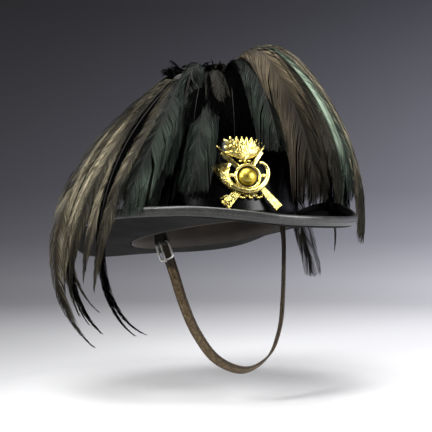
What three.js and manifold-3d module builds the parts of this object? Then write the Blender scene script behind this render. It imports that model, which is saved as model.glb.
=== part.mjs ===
// Plumed broad-brimmed felt hat with a gilt front badge and a leather chin strap, as it is worn.
// Millimetres, +Z up, the front of the hat towards -Y and the wearer's right towards -X.
// The origin is the centre of the head opening, where the hat sits on the head.

import * as THREE from 'three';
import { TessellateModifier } from 'three/addons/modifiers/TessellateModifier.js';
import { mergeVertices } from 'three/addons/utils/BufferGeometryUtils.js';
import Module from 'manifold-3d';

const wasm = await Module();
wasm.setup();

// Driving dimensions, in millimetres and degrees
const gap = 0.3;
const ringSides = 40;
const wornTilt = { back: 9.5, right: 2 };
const headOpening = { side: 80, front: 98 };
const sweat = { leather: 1.2, low: -1.8, high: 30, lean: 1.45 };
const crownForm = { wall: 2.4, height: 118, roundness: 2.6, evenTo: 0.9, domeSteps: 7 };
const crownFlare = { out: 4, height: 9 };
const brimForm = { side: 143, front: 167, felt: 2.2, droop: 1.6, shares: [0, 0.35, 0.7, 1] };
const lip = { bendRadius: 5, turn: 75, stand: 4 };
const bindingForm = { leather: 0.9, cover: 7 };
const badgeForm = { turnToRight: 7, height: 39.5, metal: 1.8, size: 1.02, longestEdge: 13, splits: 5 };
const badgePlate = { bow: 140, facing: 9, upright: 4, roll: -5, standOff: 1.87 };
const plumeForm = { thickness: 2.4, sections: 8, rootOut: 7, archSteps: 24 };
const vaneForm = { swell: 0.35, lead: 0.08, inner: 1.05, outer: 0.72, least: 1, ends: 0.02 };
const plumeStem = { x: 1, y: 0, top: 8, foot: 9, low: 105, high: 145 };
const strapForm = { width: 12, leather: 2, seatY: -23, seatZ: 10, slope: 72.3 };
const cheekLean = { angle: 17, middle: -35, from: 8, full: -15 };
const buckleForm = { barSpacing: 18, sideSpacing: 17.5, squareness: 6, wire: 2, slot: 3.4, foldEase: 0.5 };
const prongForm = { wire: 1.6, overhang: 2.5, hook: 230, hookSteps: 7, sides: 6 };

// Height of the lip's middle above the head opening, round the rim from the wearer's left by the back
const rimRows = [
  { at: 'left', height: 23 },
  { at: 'left back', height: 3 },
  { at: 'back', height: 5 },
  { at: 'right back', height: 2 },
  { at: 'right', height: 17 },
  { at: 'right front', height: 6 },
  { at: 'front', height: -14 },
  { at: 'left front', height: -9 },
];

// Where the bunches of feathers are bound to the plume's head
const bunchRoots = {
  right: new THREE.Vector3(-28, 6, 157),
  front: new THREE.Vector3(-6, -2, 157),
  left: new THREE.Vector3(14, -8, 158),
  back: new THREE.Vector3(2, 10, 150),
};

// Lobes of the plume's head, hidden by the feathers that are bound into it
const headColumns = ['x', 'y', 'z', 'side', 'front', 'rise'];
const headRows = [
  [1, 0, 145, 28, 22, 13],
  [-28, 6, 157, 18, 15, 14],
  [-6, -2, 157, 16, 14, 13],
  [14, -8, 155, 20, 16, 18],
  [2, 10, 150, 20, 16, 13],
];

// One row for each lock of feathers. The bearing is the way it falls, from the front towards the
// wearer's right, and drift turns it on its way. The angles are slopes above the level: at the quill,
// past the arch and at the tip. The arch is the length over which the quill bends over. Roll turns the
// vane about its shaft, and a larger taper thins it sooner.
const lockColumns = [
  'bunch', 'bearing', 'drift', 'length', 'quill', 'shoulder', 'tip', 'arch', 'width', 'roll', 'taper',
];
const lockRows = [
  ['right', 108, 0, 338, 25, -41, -141, 9, 30, 50, 1.1],
  ['right', 103, -2, 318, 22, -42, -140, 10, 38, 46, 1.1],
  ['right', 97, 2, 292, 25, -43, -118, 12, 40, 42, 1],
  ['right', 80, 8, 271, 22, -43, -97, 11, 42, 34, 1],
  ['right', 54, 29, 269, 22, -43, -91, 11, 42, 24, 0.9],
  ['right', 60, 10, 332, 20, -36, -152, 11, 11, 24, 0.8],
  ['right', 42, 22, 190, 22, -43, -61, 11, 34, 18, 0.6],
  ['front', 50, 25, 189, 78, -70, -59, 29, 34, 20, 0.6],
  ['front', 29, 20, 167, 80, -50, -62, 16, 34, 8, 0.5],
  ['front', 12, 0, 100, 60, -36, -82, 14, 28, 0, 0.4],
  ['left', 10, 0, 128, 70, -44, -84, 22, 30, -10, 0.5],
  ['left', -2, 2, 160, 85, -46, -75, 33, 36, -14, 0.5],
  ['left', -16, -1, 232, 82, -51, -85, 46, 46, -28, 0.5],
  ['left', -28, 0, 240, 83, -46, -88, 47, 40, -34, 0.5],
  ['left', -40, -1, 243, 84, -41, -90, 47, 40, -40, 0.5],
  ['left', -58, 2, 297, 79, -48, -96, 57, 40, -46, 0.4],
  ['left', -76, 0, 258, 78, -42, -96, 52, 36, -30, 0.6],
  ['left', -94, 0, 262, 78, -40, -97, 50, 34, -15, 0.6],
  ['left', -122, 20, 284, 69, -43, -81, 11, 36, 0, 0.3],
  ['back', -128, 0, 280, 78, -34, -98, 46, 36, 0, 0.7],
  ['back', -145, 0, 284, 78, -32, -98, 44, 36, 0, 0.7],
  ['back', -163, 0, 288, 78, -31, -98, 44, 36, 0, 0.7],
  ['back', 178, 0, 290, 78, -31, -100, 44, 36, 0, 0.7],
  ['back', 162, 0, 286, 78, -34, -104, 40, 36, 0, 0.7],
  ['back', 147, 0, 282, 78, -30, -104, 34, 34, 10, 0.7],
  ['right', 131, -1, 262, 52, -43, -94, 9, 36, 25, 0.9],
];

// Chin strap's middle line in its own sloping plane: across the face, and up towards the hat
const strapColumns = ['across', 'up'];
const strapRows = [
  [-69.1, -22.1],
  [-66.4, -35.8],
  [-63.5, -50],
  [-57.5, -82],
  [-48, -111.6],
  [-30, -138.7],
  [0, -151.2],
  [30, -138.7],
  [48, -111.6],
  [57.5, -82],
  [65, -50],
  [71, -20],
  [73.6, 8],
];
const buckleCentre = new THREE.Vector2(-70.3, -27.5);
const buckleAlong = new THREE.Vector2(0.2, -0.98).normalize();
const tabTop = new THREE.Vector2(-73, 10);
const tabReturn = 9;

// Finishes
const felt = { color: 0x15140f, roughness: 0.5, metalness: 0 };
const patentLeather = { color: 0x2a2926, roughness: 0.3, metalness: 0 };
const paleLeather = { color: 0x8a7a66, roughness: 0.6, metalness: 0 };
const gilt = { color: 0xc9a548, roughness: 0.25, metalness: 1 };
const feather = { color: 0x1f211a, roughness: 0.45, metalness: 0 };
const brownLeather = { color: 0x4f4030, roughness: 0.6, metalness: 0 };
const darkLeather = { color: 0x2b2620, roughness: 0.6, metalness: 0 };
const steel = { color: 0xb9b9b4, roughness: 0.3, metalness: 1 };

// Sizes that follow from the driving dimensions
const radians = THREE.MathUtils.degToRad;
const wallBuild = sweat.leather + gap + crownForm.wall;
const crownOval = { side: headOpening.side + wallBuild, front: headOpening.front + wallBuild };
const crownRadius = (crownOval.side + crownOval.front) / 2;
const lipBendLength = lip.bendRadius * radians(lip.turn);
const lipLength = lipBendLength + lip.stand;
const lipRise = lip.bendRadius * (1 - Math.cos(radians(lip.turn))) + lip.stand * Math.sin(radians(lip.turn));
const lipReach = lip.bendRadius * Math.sin(radians(lip.turn)) + lip.stand * Math.cos(radians(lip.turn));
const bindingOffset = brimForm.felt / 2 + gap;
const brimInner = {
  side: crownOval.side + crownFlare.out + gap,
  front: crownOval.front + crownFlare.out + gap,
};
const brimSheet = {
  side: brimForm.side - lipReach - bindingOffset - bindingForm.leather,
  front: brimForm.front - lipReach - bindingOffset - bindingForm.leather,
};
const hatTilt = new THREE.Euler(-radians(wornTilt.back), -radians(wornTilt.right), 0);
const hatMatrix = new THREE.Matrix4().makeRotationFromEuler(hatTilt);
const rowsOf = (columns, rows) => rows.map(
  (row) => Object.fromEntries(columns.map((column, index) => [column, row[index]])),
);

// A closed body from a geometry: shared corners merged, flat corners dropped, faces pointing out
function solidOf(geometry) {
  const bare = geometry.clone();
  bare.deleteAttribute('normal');
  bare.deleteAttribute('uv');
  const merged = mergeVertices(bare);
  const position = merged.attributes.position;
  const corner = (index) => new THREE.Vector3().fromBufferAttribute(position, index);
  const triangles = [];
  let volume = 0;
  for (let start = 0; start < merged.index.count; start += 3) {
    const [a, b, c] = [0, 1, 2].map((step) => merged.index.getX(start + step));
    if (a === b || b === c || c === a) continue;
    triangles.push(a, b, c);
    volume += corner(a).dot(corner(b).cross(corner(c)));
  }
  if (volume < 0) triangles.reverse();
  return new wasm.Manifold(new wasm.Mesh({
    numProp: 3,
    vertProperties: new Float32Array(position.array),
    triVerts: new Uint32Array(triangles),
  }));
}

function geometryOf(solid) {
  const mesh = solid.getMesh();
  const geometry = new THREE.BufferGeometry();
  geometry.setAttribute('position', new THREE.BufferAttribute(new Float32Array(mesh.vertProperties), 3));
  geometry.setIndex(Array.from(mesh.triVerts));
  geometry.computeVertexNormals();
  return geometry;
}

function piece(name, geometry, finish) {
  const mesh = new THREE.Mesh(geometry, new THREE.MeshStandardMaterial(finish));
  mesh.name = name;
  return mesh;
}

// Moves every corner of a geometry to the place that a function gives for it
function bend(geometry, place) {
  const position = geometry.attributes.position;
  const corner = new THREE.Vector3();
  for (let index = 0; index < position.count; index += 1) {
    corner.fromBufferAttribute(position, index);
    const moved = place(corner.clone());
    position.setXYZ(index, moved.x, moved.y, moved.z);
  }
  return geometry;
}

// A closed ring: each station of the section is carried round the hat by a function of the angle
function ring(section, place) {
  const geometry = new THREE.TorusGeometry(2, 1, section.length, ringSides);
  const position = geometry.attributes.position;
  for (let index = 0; index < position.count; index += 1) {
    const column = index % (ringSides + 1) % ringSides;
    const row = Math.floor(index / (ringSides + 1)) % section.length;
    const point = place(2 * Math.PI * column / ringSides, section[row]);
    position.setXYZ(index, point.x, point.y, point.z);
  }
  return geometryOf(solidOf(geometry));
}

// Crown: a rounded dome with a wall of even thickness and a small flare where it meets the brim
const domeRadius = (height, radius, top) => (
  radius * (1 - (height / top) ** crownForm.roundness) ** (1 / crownForm.roundness)
);

// Turns a round radius into the oval's half width, keeping wall thicknesses even near the sides
const ovalHalf = (radius, half) => (
  radius + (half - crownRadius) * Math.min(1, radius / (crownForm.evenTo * crownRadius))
);

function ovalPoint(angle, radius, height) {
  return new THREE.Vector3(
    ovalHalf(radius, crownOval.side) * Math.cos(angle),
    ovalHalf(radius, crownOval.front) * Math.sin(angle),
    height,
  );
}

function domeProfile(radius, top, fromHeight) {
  const points = [];
  const power = 2 / crownForm.roundness;
  for (let step = 0; step <= crownForm.domeSteps; step += 1) {
    const angle = Math.PI / 2 * step / crownForm.domeSteps;
    const height = top * Math.sin(angle) ** power;
    const across = step === crownForm.domeSteps ? 0 : radius * Math.cos(angle) ** power;
    if (height > fromHeight) points.push(new THREE.Vector2(across, height));
  }
  return points;
}

function ovalLathe(profile) {
  const geometry = new THREE.LatheGeometry(profile, ringSides);
  geometry.rotateX(Math.PI / 2);
  return bend(geometry, (corner) => (
    ovalPoint(Math.atan2(corner.y, corner.x), Math.hypot(corner.x, corner.y), corner.z)
  ));
}

function crownGeometry() {
  const inner = crownRadius - crownForm.wall;
  const base = brimForm.felt / 2;
  const profile = [
    new THREE.Vector2(inner, crownFlare.height / 2),
    new THREE.Vector2(inner + crownFlare.out / 3, -base),
    new THREE.Vector2(crownRadius + crownFlare.out, -base),
    new THREE.Vector2(crownRadius + crownFlare.out, base),
    new THREE.Vector2(crownRadius + crownFlare.out / 3, crownFlare.height / 2.5),
    new THREE.Vector2(crownRadius, crownFlare.height),
    ...domeProfile(crownRadius, crownForm.height, crownFlare.height),
  ];
  const inside = domeProfile(inner, crownForm.height - crownForm.wall, crownFlare.height);
  return geometryOf(solidOf(ovalLathe([...inside.reverse(), ...profile])));
}

// Brim: a sheet that rises or dips towards the rim, then a lip that turns up all round
const rimLine = new THREE.CatmullRomCurve3(
  rimRows.map((row, index) => {
    const angle = 2 * Math.PI * index / rimRows.length;
    return new THREE.Vector3(Math.cos(angle), Math.sin(angle), row.height);
  }),
  true,
  'catmullrom',
);
const rimHeight = (angle) => rimLine.getPoint(angle / (2 * Math.PI)).z;

// The lip's middle line: reach and rise from the edge of the sheet, and the slope there
function lipAt(distance) {
  const turned = Math.min(distance, lipBendLength) / lip.bendRadius;
  const straight = Math.max(0, distance - lipBendLength);
  return {
    share: 1,
    out: lip.bendRadius * Math.sin(turned) + straight * Math.cos(turned),
    up: lip.bendRadius * (1 - Math.cos(turned)) + straight * Math.sin(turned),
    turned,
  };
}

const beside = (station, offset) => ({
  share: station.share,
  out: station.out - offset * Math.sin(station.turned),
  up: station.up + offset * Math.cos(station.turned),
});

function brimPoint(angle, station) {
  const outward = new THREE.Vector2(Math.cos(angle) / brimForm.side, Math.sin(angle) / brimForm.front);
  outward.normalize();
  const side = THREE.MathUtils.lerp(brimInner.side, brimSheet.side, station.share);
  const front = THREE.MathUtils.lerp(brimInner.front, brimSheet.front, station.share);
  const sheetRise = (rimHeight(angle) - lipRise / 2) * station.share ** brimForm.droop;
  return new THREE.Vector3(
    side * Math.cos(angle) + station.out * outward.x,
    front * Math.sin(angle) + station.out * outward.y,
    sheetRise + station.up,
  );
}

function brimGeometry() {
  const sheet = brimForm.shares.map((share) => ({ share, out: 0, up: 0, turned: 0 }));
  const stations = [...sheet, ...[lipBendLength / 2, lipBendLength, lipLength].map(lipAt)];
  const under = stations.map((station) => beside(station, -brimForm.felt / 2));
  const over = stations.map((station) => beside(station, brimForm.felt / 2));
  return ring([...under, ...over.reverse()], brimPoint);
}

// Binding: leather folded over the lip, with a face outside and a face inside
function bindingGeometry() {
  const legs = [lipLength - bindingForm.cover, lipBendLength];
  const outer = [...legs, lipLength + gap + bindingForm.leather].map(lipAt);
  const inner = [...legs, lipLength + gap].map(lipAt);
  const thick = bindingOffset + bindingForm.leather;
  const section = [
    ...outer.map((station) => beside(station, -thick)),
    ...outer.map((station) => beside(station, thick)).reverse(),
    ...inner.map((station) => beside(station, bindingOffset)),
    ...inner.map((station) => beside(station, -bindingOffset)).reverse(),
  ];
  return ring(section, brimPoint);
}

// The room that the bound rim takes up, with a gap all round
function rimRoom() {
  const foot = lipLength - bindingForm.cover - gap;
  const stations = [foot, lipBendLength, lipLength + bindingForm.leather + 2 * gap];
  const thick = bindingOffset + bindingForm.leather + 2 * gap;
  const outer = stations.map((distance) => beside(lipAt(distance), -thick));
  const inner = stations.map((distance) => beside(lipAt(distance), thick));
  return ring([...outer, ...inner.reverse()], brimPoint);
}

function sweatbandGeometry() {
  const outside = crownRadius - crownForm.wall - gap;
  const inside = outside - sweat.leather;
  const section = [
    { radius: inside, up: sweat.low },
    { radius: outside, up: sweat.low },
    { radius: outside - sweat.lean, up: sweat.high },
    { radius: inside - sweat.lean, up: sweat.high },
  ];
  return ring(section, (angle, station) => ovalPoint(angle, station.radius, station.up));
}

// Badge: flame tongues, a ball in a ring, a curled horn and two crossed staves, soldered together.
// It is laid out flat from the ball's centre and then laid on the front of the crown.
const flameLayers = [
  { tongues: 9, spread: 120, length: 22, side: 18.5, width: 6.6, depth: 1.8 },
  { tongues: 6, spread: 95, length: 14, side: 12, width: 5.6, depth: 2.8 },
];
const flameRoot = new THREE.Vector2(-1.6, 16);
const flameOutline = { foot: 0.4, innerBulge: 1.5, outerBulge: 1.7, bulgeHeight: 0.47, tipLean: 0.3 };
const ball = { radius: 9, rise: 6 };
const ballRing = { radius: 11.5, wire: 1.5 };
const staveRows = [
  { from: new THREE.Vector2(-27.5, 30.5), to: new THREE.Vector2(29, -30) },
  { from: new THREE.Vector2(18.5, 31), to: new THREE.Vector2(-23.5, -27.5) },
];
const staveShaft = { muzzle: 0.9, half: 2.2, share: 0.6, steps: 6 };
const staveButt = { neck: 3, heel: 5.2, share: 0.72, steps: 2 };
const hornColumns = ['across', 'up', 'radius'];
const hornRows = [
  [-24.6, 10.4, 10.2],
  [-23.5, 5, 7],
  [-20.5, -4, 4.4],
  [-10.5, -12.2, 3.4],
  [0, -15, 3],
  [11.8, -10.6, 2.6],
  [18.8, -1.5, 2.3],
  [20, 7, 2],
  [15.5, 13.4, 1.7],
];
const hornDepth = 2.6;
const knotRows = [
  { across: -2, up: -19.5, radius: 3.6 },
  { across: -7.5, up: -18, radius: 3 },
  { across: 3.5, up: -18, radius: 3 },
];

function flameTongue({ length, width, depth }, tilt) {
  const half = width / 2;
  const outline = new THREE.Shape();
  const bulgeHeight = length * flameOutline.bulgeHeight;
  outline.moveTo(-half * flameOutline.foot, 0);
  const tipAcross = half * flameOutline.tipLean;
  outline.quadraticCurveTo(-half * flameOutline.innerBulge, bulgeHeight, tipAcross, length);
  outline.quadraticCurveTo(half * flameOutline.outerBulge, bulgeHeight, half * flameOutline.foot, 0);
  const geometry = new THREE.ExtrudeGeometry(outline, { depth, bevelEnabled: false, curveSegments: 3 });
  geometry.rotateZ(-tilt);
  geometry.translate(flameRoot.x, flameRoot.y, 0);
  return geometry;
}

function domedButton({ across, up, radius }, rise, sides, steps) {
  const profile = [new THREE.Vector2(0, 0)];
  for (let step = 0; step <= steps; step += 1) {
    const angle = Math.PI / 2 * step / steps;
    profile.push(new THREE.Vector2(step === steps ? 0 : radius * Math.cos(angle), rise * Math.sin(angle)));
  }
  const geometry = new THREE.LatheGeometry(profile, sides);
  geometry.rotateX(Math.PI / 2);
  geometry.translate(across, up, 0);
  return geometry;
}

function stave({ from, to }) {
  const line = to.clone().sub(from);
  const edge = [];
  for (let step = 0; step <= staveShaft.steps; step += 1) {
    const half = step === 0 ? staveShaft.muzzle : staveShaft.half;
    edge.push([staveShaft.share * step / staveShaft.steps, half]);
  }
  for (let step = 0; step <= staveButt.steps; step += 1) {
    const share = step / staveButt.steps;
    edge.push([
      THREE.MathUtils.lerp(staveButt.share, 1, share),
      THREE.MathUtils.lerp(staveButt.neck, staveButt.heel, share),
    ]);
  }
  const side = (sign) => edge.map(([share, half]) => new THREE.Vector2(share * line.length(), sign * half));
  const outline = new THREE.Shape([...side(-1), ...side(1).reverse()]);
  const geometry = new THREE.ExtrudeGeometry(outline, { depth: badgeForm.metal, bevelEnabled: false });
  geometry.rotateZ(line.angle());
  geometry.translate(from.x, from.y, 0);
  return geometry;
}

function horn() {
  const rows = rowsOf(hornColumns, hornRows);
  const points = rows.map((row) => new THREE.Vector3(row.across, row.up, row.radius));
  const line = new THREE.CatmullRomCurve3(points);
  const geometry = new THREE.CylinderGeometry(1, 1, 1, 8, 12);
  return bend(geometry, (corner) => {
    const share = 0.5 - corner.y;
    const point = line.getPoint(share);
    const tangent = line.getTangent(share);
    const sideways = new THREE.Vector2(tangent.y, -tangent.x).normalize();
    const radius = point.z;
    const depth = Math.min(hornDepth, radius);
    return new THREE.Vector3(
      point.x + sideways.x * corner.x * radius,
      point.y + sideways.y * corner.x * radius,
      depth * (1 + corner.z),
    );
  });
}

// The badge is stiff: a plate with a slight bow that rests against the front of the crown
function badgePlacer() {
  const frontAngle = radians(270 - badgeForm.turnToRight);
  const surface = (across, up) => ovalPoint(
    frontAngle + across / crownOval.side,
    domeRadius(up, crownRadius, crownForm.height),
    up,
  );
  const step = 0.5;
  const seat = surface(0, badgeForm.height);
  const across = surface(step, badgeForm.height).sub(seat).normalize();
  const rise = surface(0, badgeForm.height + step).sub(seat).normalize();
  across.applyAxisAngle(rise, -radians(badgePlate.facing));
  rise.applyAxisAngle(across, radians(badgePlate.upright));
  const normal = across.clone().cross(rise).normalize();
  across.applyAxisAngle(normal, radians(badgePlate.roll));
  rise.applyAxisAngle(normal, radians(badgePlate.roll));
  return (flat) => {
    const turn = flat.x * badgeForm.size / badgePlate.bow;
    const reach = badgePlate.bow + flat.z;
    const point = seat.clone().addScaledVector(across, reach * Math.sin(turn));
    point.addScaledVector(rise, flat.y * badgeForm.size);
    return point.addScaledVector(normal, reach * Math.cos(turn) - badgePlate.bow + badgePlate.standOff);
  };
}

function badgeGeometry() {
  const parts = [];
  for (const layer of flameLayers) {
    for (let index = 0; index < layer.tongues; index += 1) {
      const share = index / (layer.tongues - 1) - 0.5;
      const tilt = radians(layer.spread * share);
      const reach = Math.min(layer.length / Math.cos(tilt), layer.side / Math.abs(Math.sin(tilt)));
      parts.push(flameTongue({ ...layer, length: reach }, tilt));
    }
  }
  const wireRing = new THREE.TorusGeometry(ballRing.radius, ballRing.wire, 6, 20);
  wireRing.translate(0, 0, ballRing.wire);
  parts.push(wireRing, horn(), ...staveRows.map(stave));
  parts.push(domedButton({ across: 0, up: 0, radius: ball.radius }, ball.rise, 16, 4));
  parts.push(...knotRows.map((row) => domedButton(row, row.radius, 8, 2)));
  const soldered = geometryOf(parts.map(solidOf).reduce((whole, part) => whole.add(part)));
  const bendable = new TessellateModifier(badgeForm.longestEdge, badgeForm.splits).modify(soldered);
  return geometryOf(solidOf(bend(bendable, badgePlacer())));
}

// Plume: long feathers that rise from the head, arch over and fall round the hat
function compass(bearing) {
  return new THREE.Vector3(-Math.sin(radians(bearing)), -Math.cos(radians(bearing)), 0);
}

function lockLine(lock) {
  const point = bunchRoots[lock.bunch].clone().addScaledVector(compass(lock.bearing), plumeForm.rootOut);
  const points = [point.clone()];
  const stride = lock.length / plumeForm.archSteps;
  for (let step = 0; step < plumeForm.archSteps; step += 1) {
    const share = (step + 0.5) / plumeForm.archSteps;
    const arching = Math.exp(-((share * lock.length / lock.arch) ** 2));
    const falling = lock.shoulder + (lock.tip - lock.shoulder) * share ** 2;
    const slope = radians(falling + (lock.quill - lock.shoulder) * arching);
    point.addScaledVector(compass(lock.bearing + lock.drift * share), stride * Math.cos(slope));
    point.z += stride * Math.sin(slope);
    points.push(point.clone());
  }
  return new THREE.CatmullRomCurve3(points);
}

// Half the vane's width: it swells from the root and thins towards the tip
function vaneHalf(lock, share) {
  const part = THREE.MathUtils.clamp(share - vaneForm.lead, vaneForm.ends, 1 - vaneForm.ends);
  const widest = vaneForm.swell / (vaneForm.swell + lock.taper);
  const swelling = (part / widest) ** vaneForm.swell;
  const thinning = ((1 - part) / (1 - widest)) ** lock.taper;
  return Math.max(vaneForm.least, lock.width / 2 * swelling * thinning);
}

function lockStrip(lock) {
  const line = lockLine(lock);
  const strip = new THREE.CylinderGeometry(1, 1, 1, 4, plumeForm.sections);
  const inward = lock.roll > 0 ? -1 : 1;
  return bend(strip, (corner) => {
    const share = 0.5 - corner.y;
    const tangent = line.getTangentAt(share);
    const level = compass(lock.bearing + lock.drift * share + 90);
    const sideways = level.applyAxisAngle(tangent, -radians(lock.roll));
    const normal = tangent.clone().cross(sideways).normalize();
    const halfShare = corner.x * inward > 0 ? vaneForm.inner : vaneForm.outer;
    const point = line.getPointAt(share);
    point.addScaledVector(sideways, corner.x * halfShare * vaneHalf(lock, share));
    return point.addScaledVector(normal, corner.z * plumeForm.thickness / 2);
  });
}

function plumeGeometry() {
  const lobes = rowsOf(headColumns, headRows).map((row) => {
    const lobe = new THREE.SphereGeometry(1, 12, 8);
    lobe.scale(row.side, row.front, row.rise);
    return lobe.translate(row.x, row.y, row.z);
  });
  const stemLength = plumeStem.high - plumeStem.low;
  const stem = new THREE.CylinderGeometry(plumeStem.top, plumeStem.foot, stemLength, 16);
  stem.rotateX(Math.PI / 2);
  stem.translate(plumeStem.x, plumeStem.y, plumeStem.low + stemLength / 2);
  const dome = [
    new THREE.Vector2(0, 0),
    new THREE.Vector2(crownRadius + gap, 0),
    ...domeProfile(crownRadius + gap, crownForm.height + gap, 0),
  ];
  const seat = ovalLathe(dome).applyMatrix4(hatMatrix);
  const rim = rimRoom().applyMatrix4(hatMatrix);
  const locks = rowsOf(lockColumns, lockRows).map(lockStrip);
  const bound = [...lobes, stem, ...locks].map(solidOf).reduce((whole, part) => whole.add(part));
  return geometryOf(bound.subtract(solidOf(seat)).subtract(solidOf(rim)));
}

// Chin strap, tab and buckle, in the strap's sloping plane
function ribbon(points, thickness, width) {
  const half = thickness / 2;
  const edge = (side) => points.map((point, index) => {
    const before = points[Math.max(0, index - 1)];
    const after = points[Math.min(points.length - 1, index + 1)];
    const along = after.clone().sub(before).normalize();
    return new THREE.Vector2(point.x - along.y * side * half, point.y + along.x * side * half);
  });
  const outline = new THREE.Shape([...edge(-1), ...edge(1).reverse()]);
  const geometry = new THREE.ExtrudeGeometry(outline, { depth: width, bevelEnabled: false });
  geometry.translate(0, 0, -width / 2);
  return geometry;
}

// Below the hat the strap lies on the cheeks, and its front edge is drawn in towards the face
function onCheeks(geometry) {
  const middle = new THREE.Vector2(0, cheekLean.middle);
  return geometryOf(solidOf(bend(geometry, (corner) => {
    const share = THREE.MathUtils.smoothstep(-corner.y, -cheekLean.from, -cheekLean.full);
    const drawnIn = corner.z * Math.tan(radians(cheekLean.angle)) * share;
    const out = new THREE.Vector2(corner.x, corner.y).sub(middle);
    out.setLength(out.length() - drawnIn).add(middle);
    return new THREE.Vector3(out.x, out.y, corner.z);
  })));
}

const buckleOutward = new THREE.Vector2(buckleAlong.y, -buckleAlong.x);
const topBar = buckleCentre.clone().addScaledVector(buckleAlong, -buckleForm.barSpacing / 2);
const foldRadius = buckleForm.wire / 2 + buckleForm.foldEase + strapForm.leather / 2;

const nearBar = (radius, angle) => topBar.clone()
  .addScaledVector(buckleOutward, radius * Math.cos(angle))
  .addScaledVector(buckleAlong, radius * Math.sin(angle));

function strapGeometry() {
  const points = rowsOf(strapColumns, strapRows).map((row) => new THREE.Vector2(row.across, row.up));
  const line = new THREE.SplineCurve(points);
  return ribbon(line.getPoints(36), strapForm.leather, strapForm.width);
}

function tabGeometry() {
  const points = [tabTop];
  const foldSteps = 6;
  for (let step = 0; step <= foldSteps; step += 1) {
    points.push(nearBar(foldRadius, Math.PI * step / foldSteps));
  }
  points.push(nearBar(foldRadius, Math.PI).addScaledVector(buckleAlong, -tabReturn));
  const folded = ribbon(points, strapForm.leather, strapForm.width);
  const slotSize = 4 * foldRadius;
  const slot = new THREE.BoxGeometry(slotSize, slotSize, buckleForm.slot);
  slot.translate(topBar.x, topBar.y, 0);
  return geometryOf(solidOf(folded).subtract(solidOf(slot)));
}

function frameGeometry() {
  const wire = buckleForm.wire / 2;
  const unit = 10;
  const geometry = new THREE.TorusGeometry(unit, wire, 6, 28);
  return bend(geometry, (corner) => {
    const angle = Math.atan2(corner.y, corner.x);
    const fromWire = Math.hypot(corner.x, corner.y) - unit;
    const alongPart = (Math.abs(Math.cos(angle)) / (buckleForm.barSpacing / 2)) ** buckleForm.squareness;
    const sidePart = (Math.abs(Math.sin(angle)) / (buckleForm.sideSpacing / 2)) ** buckleForm.squareness;
    const radius = (alongPart + sidePart) ** (-1 / buckleForm.squareness) + fromWire;
    const along = radius * Math.cos(angle);
    const place = buckleCentre.clone().addScaledVector(buckleAlong, along);
    place.addScaledVector(buckleOutward, corner.z);
    return new THREE.Vector3(place.x, place.y, radius * Math.sin(angle));
  });
}

function prongGeometry() {
  const radius = buckleForm.wire / 2 + gap + prongForm.wire / 2;
  const points = [];
  for (let step = 0; step <= prongForm.hookSteps; step += 1) {
    points.push(nearBar(radius, -radians(prongForm.hook) * (1 - step / prongForm.hookSteps)));
  }
  const reach = buckleForm.barSpacing + prongForm.overhang;
  for (const share of [0.35, 0.7, 1]) {
    points.push(nearBar(radius, 0).addScaledVector(buckleAlong, reach * share));
  }
  const line = new THREE.CatmullRomCurve3(points.map((point) => new THREE.Vector3(point.x, point.y, 0)));
  const section = new THREE.Shape();
  for (let side = 0; side < prongForm.sides; side += 1) {
    const angle = 2 * Math.PI * side / prongForm.sides;
    const corner = [prongForm.wire / 2 * Math.cos(angle), prongForm.wire / 2 * Math.sin(angle)];
    if (side === 0) section.moveTo(...corner);
    else section.lineTo(...corner);
  }
  return new THREE.ExtrudeGeometry(section, { steps: 18, bevelEnabled: false, extrudePath: line });
}

// Assembly: the hat's rigid pieces tip together, and the plume and strap hang as worn
const hat = new THREE.Group();
hat.rotation.copy(hatTilt);
hat.add(piece('crown', crownGeometry(), felt));
hat.add(piece('brim', brimGeometry(), felt));
hat.add(piece('brim_binding', bindingGeometry(), patentLeather));
hat.add(piece('sweatband', sweatbandGeometry(), paleLeather));
hat.add(piece('badge', badgeGeometry(), gilt));

const strap = new THREE.Group();
strap.position.set(0, strapForm.seatY, strapForm.seatZ);
strap.rotation.x = radians(strapForm.slope);
strap.add(piece('chin_strap', onCheeks(strapGeometry()), brownLeather));
strap.add(piece('strap_tab', onCheeks(tabGeometry()), darkLeather));
strap.add(piece('buckle_frame', onCheeks(frameGeometry()), steel));
strap.add(piece('buckle_prong', onCheeks(prongGeometry()), steel));

const plumedHat = new THREE.Group();
plumedHat.add(hat, strap, piece('plume', plumeGeometry(), feather));

export default plumedHat;
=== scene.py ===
import math

import bmesh
import bpy
import numpy as np
from mathutils import Matrix, Vector


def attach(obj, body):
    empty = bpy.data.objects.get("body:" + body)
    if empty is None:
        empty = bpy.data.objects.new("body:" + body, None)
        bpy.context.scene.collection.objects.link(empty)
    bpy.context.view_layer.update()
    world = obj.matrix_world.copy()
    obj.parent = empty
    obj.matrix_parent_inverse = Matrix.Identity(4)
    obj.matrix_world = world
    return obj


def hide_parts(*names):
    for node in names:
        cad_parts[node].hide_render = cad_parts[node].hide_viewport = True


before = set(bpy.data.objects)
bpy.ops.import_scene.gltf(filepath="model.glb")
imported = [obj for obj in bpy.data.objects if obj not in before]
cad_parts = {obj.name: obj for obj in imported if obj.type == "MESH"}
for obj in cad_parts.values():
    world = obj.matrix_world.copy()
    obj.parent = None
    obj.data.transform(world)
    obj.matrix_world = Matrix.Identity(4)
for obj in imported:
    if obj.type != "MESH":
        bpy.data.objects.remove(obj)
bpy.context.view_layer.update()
mm = 0.001  # sizes below are in millimetres, Blender is in metres
print("frame loaded")

# the hat's rigid pieces are tipped back and a little to the wearer's right
worn = {"back": math.radians(9.5), "right": math.radians(2)}
hatTilt = Matrix.Rotation(-worn["back"], 3, "X") @ Matrix.Rotation(-worn["right"], 3, "Y")
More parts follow.
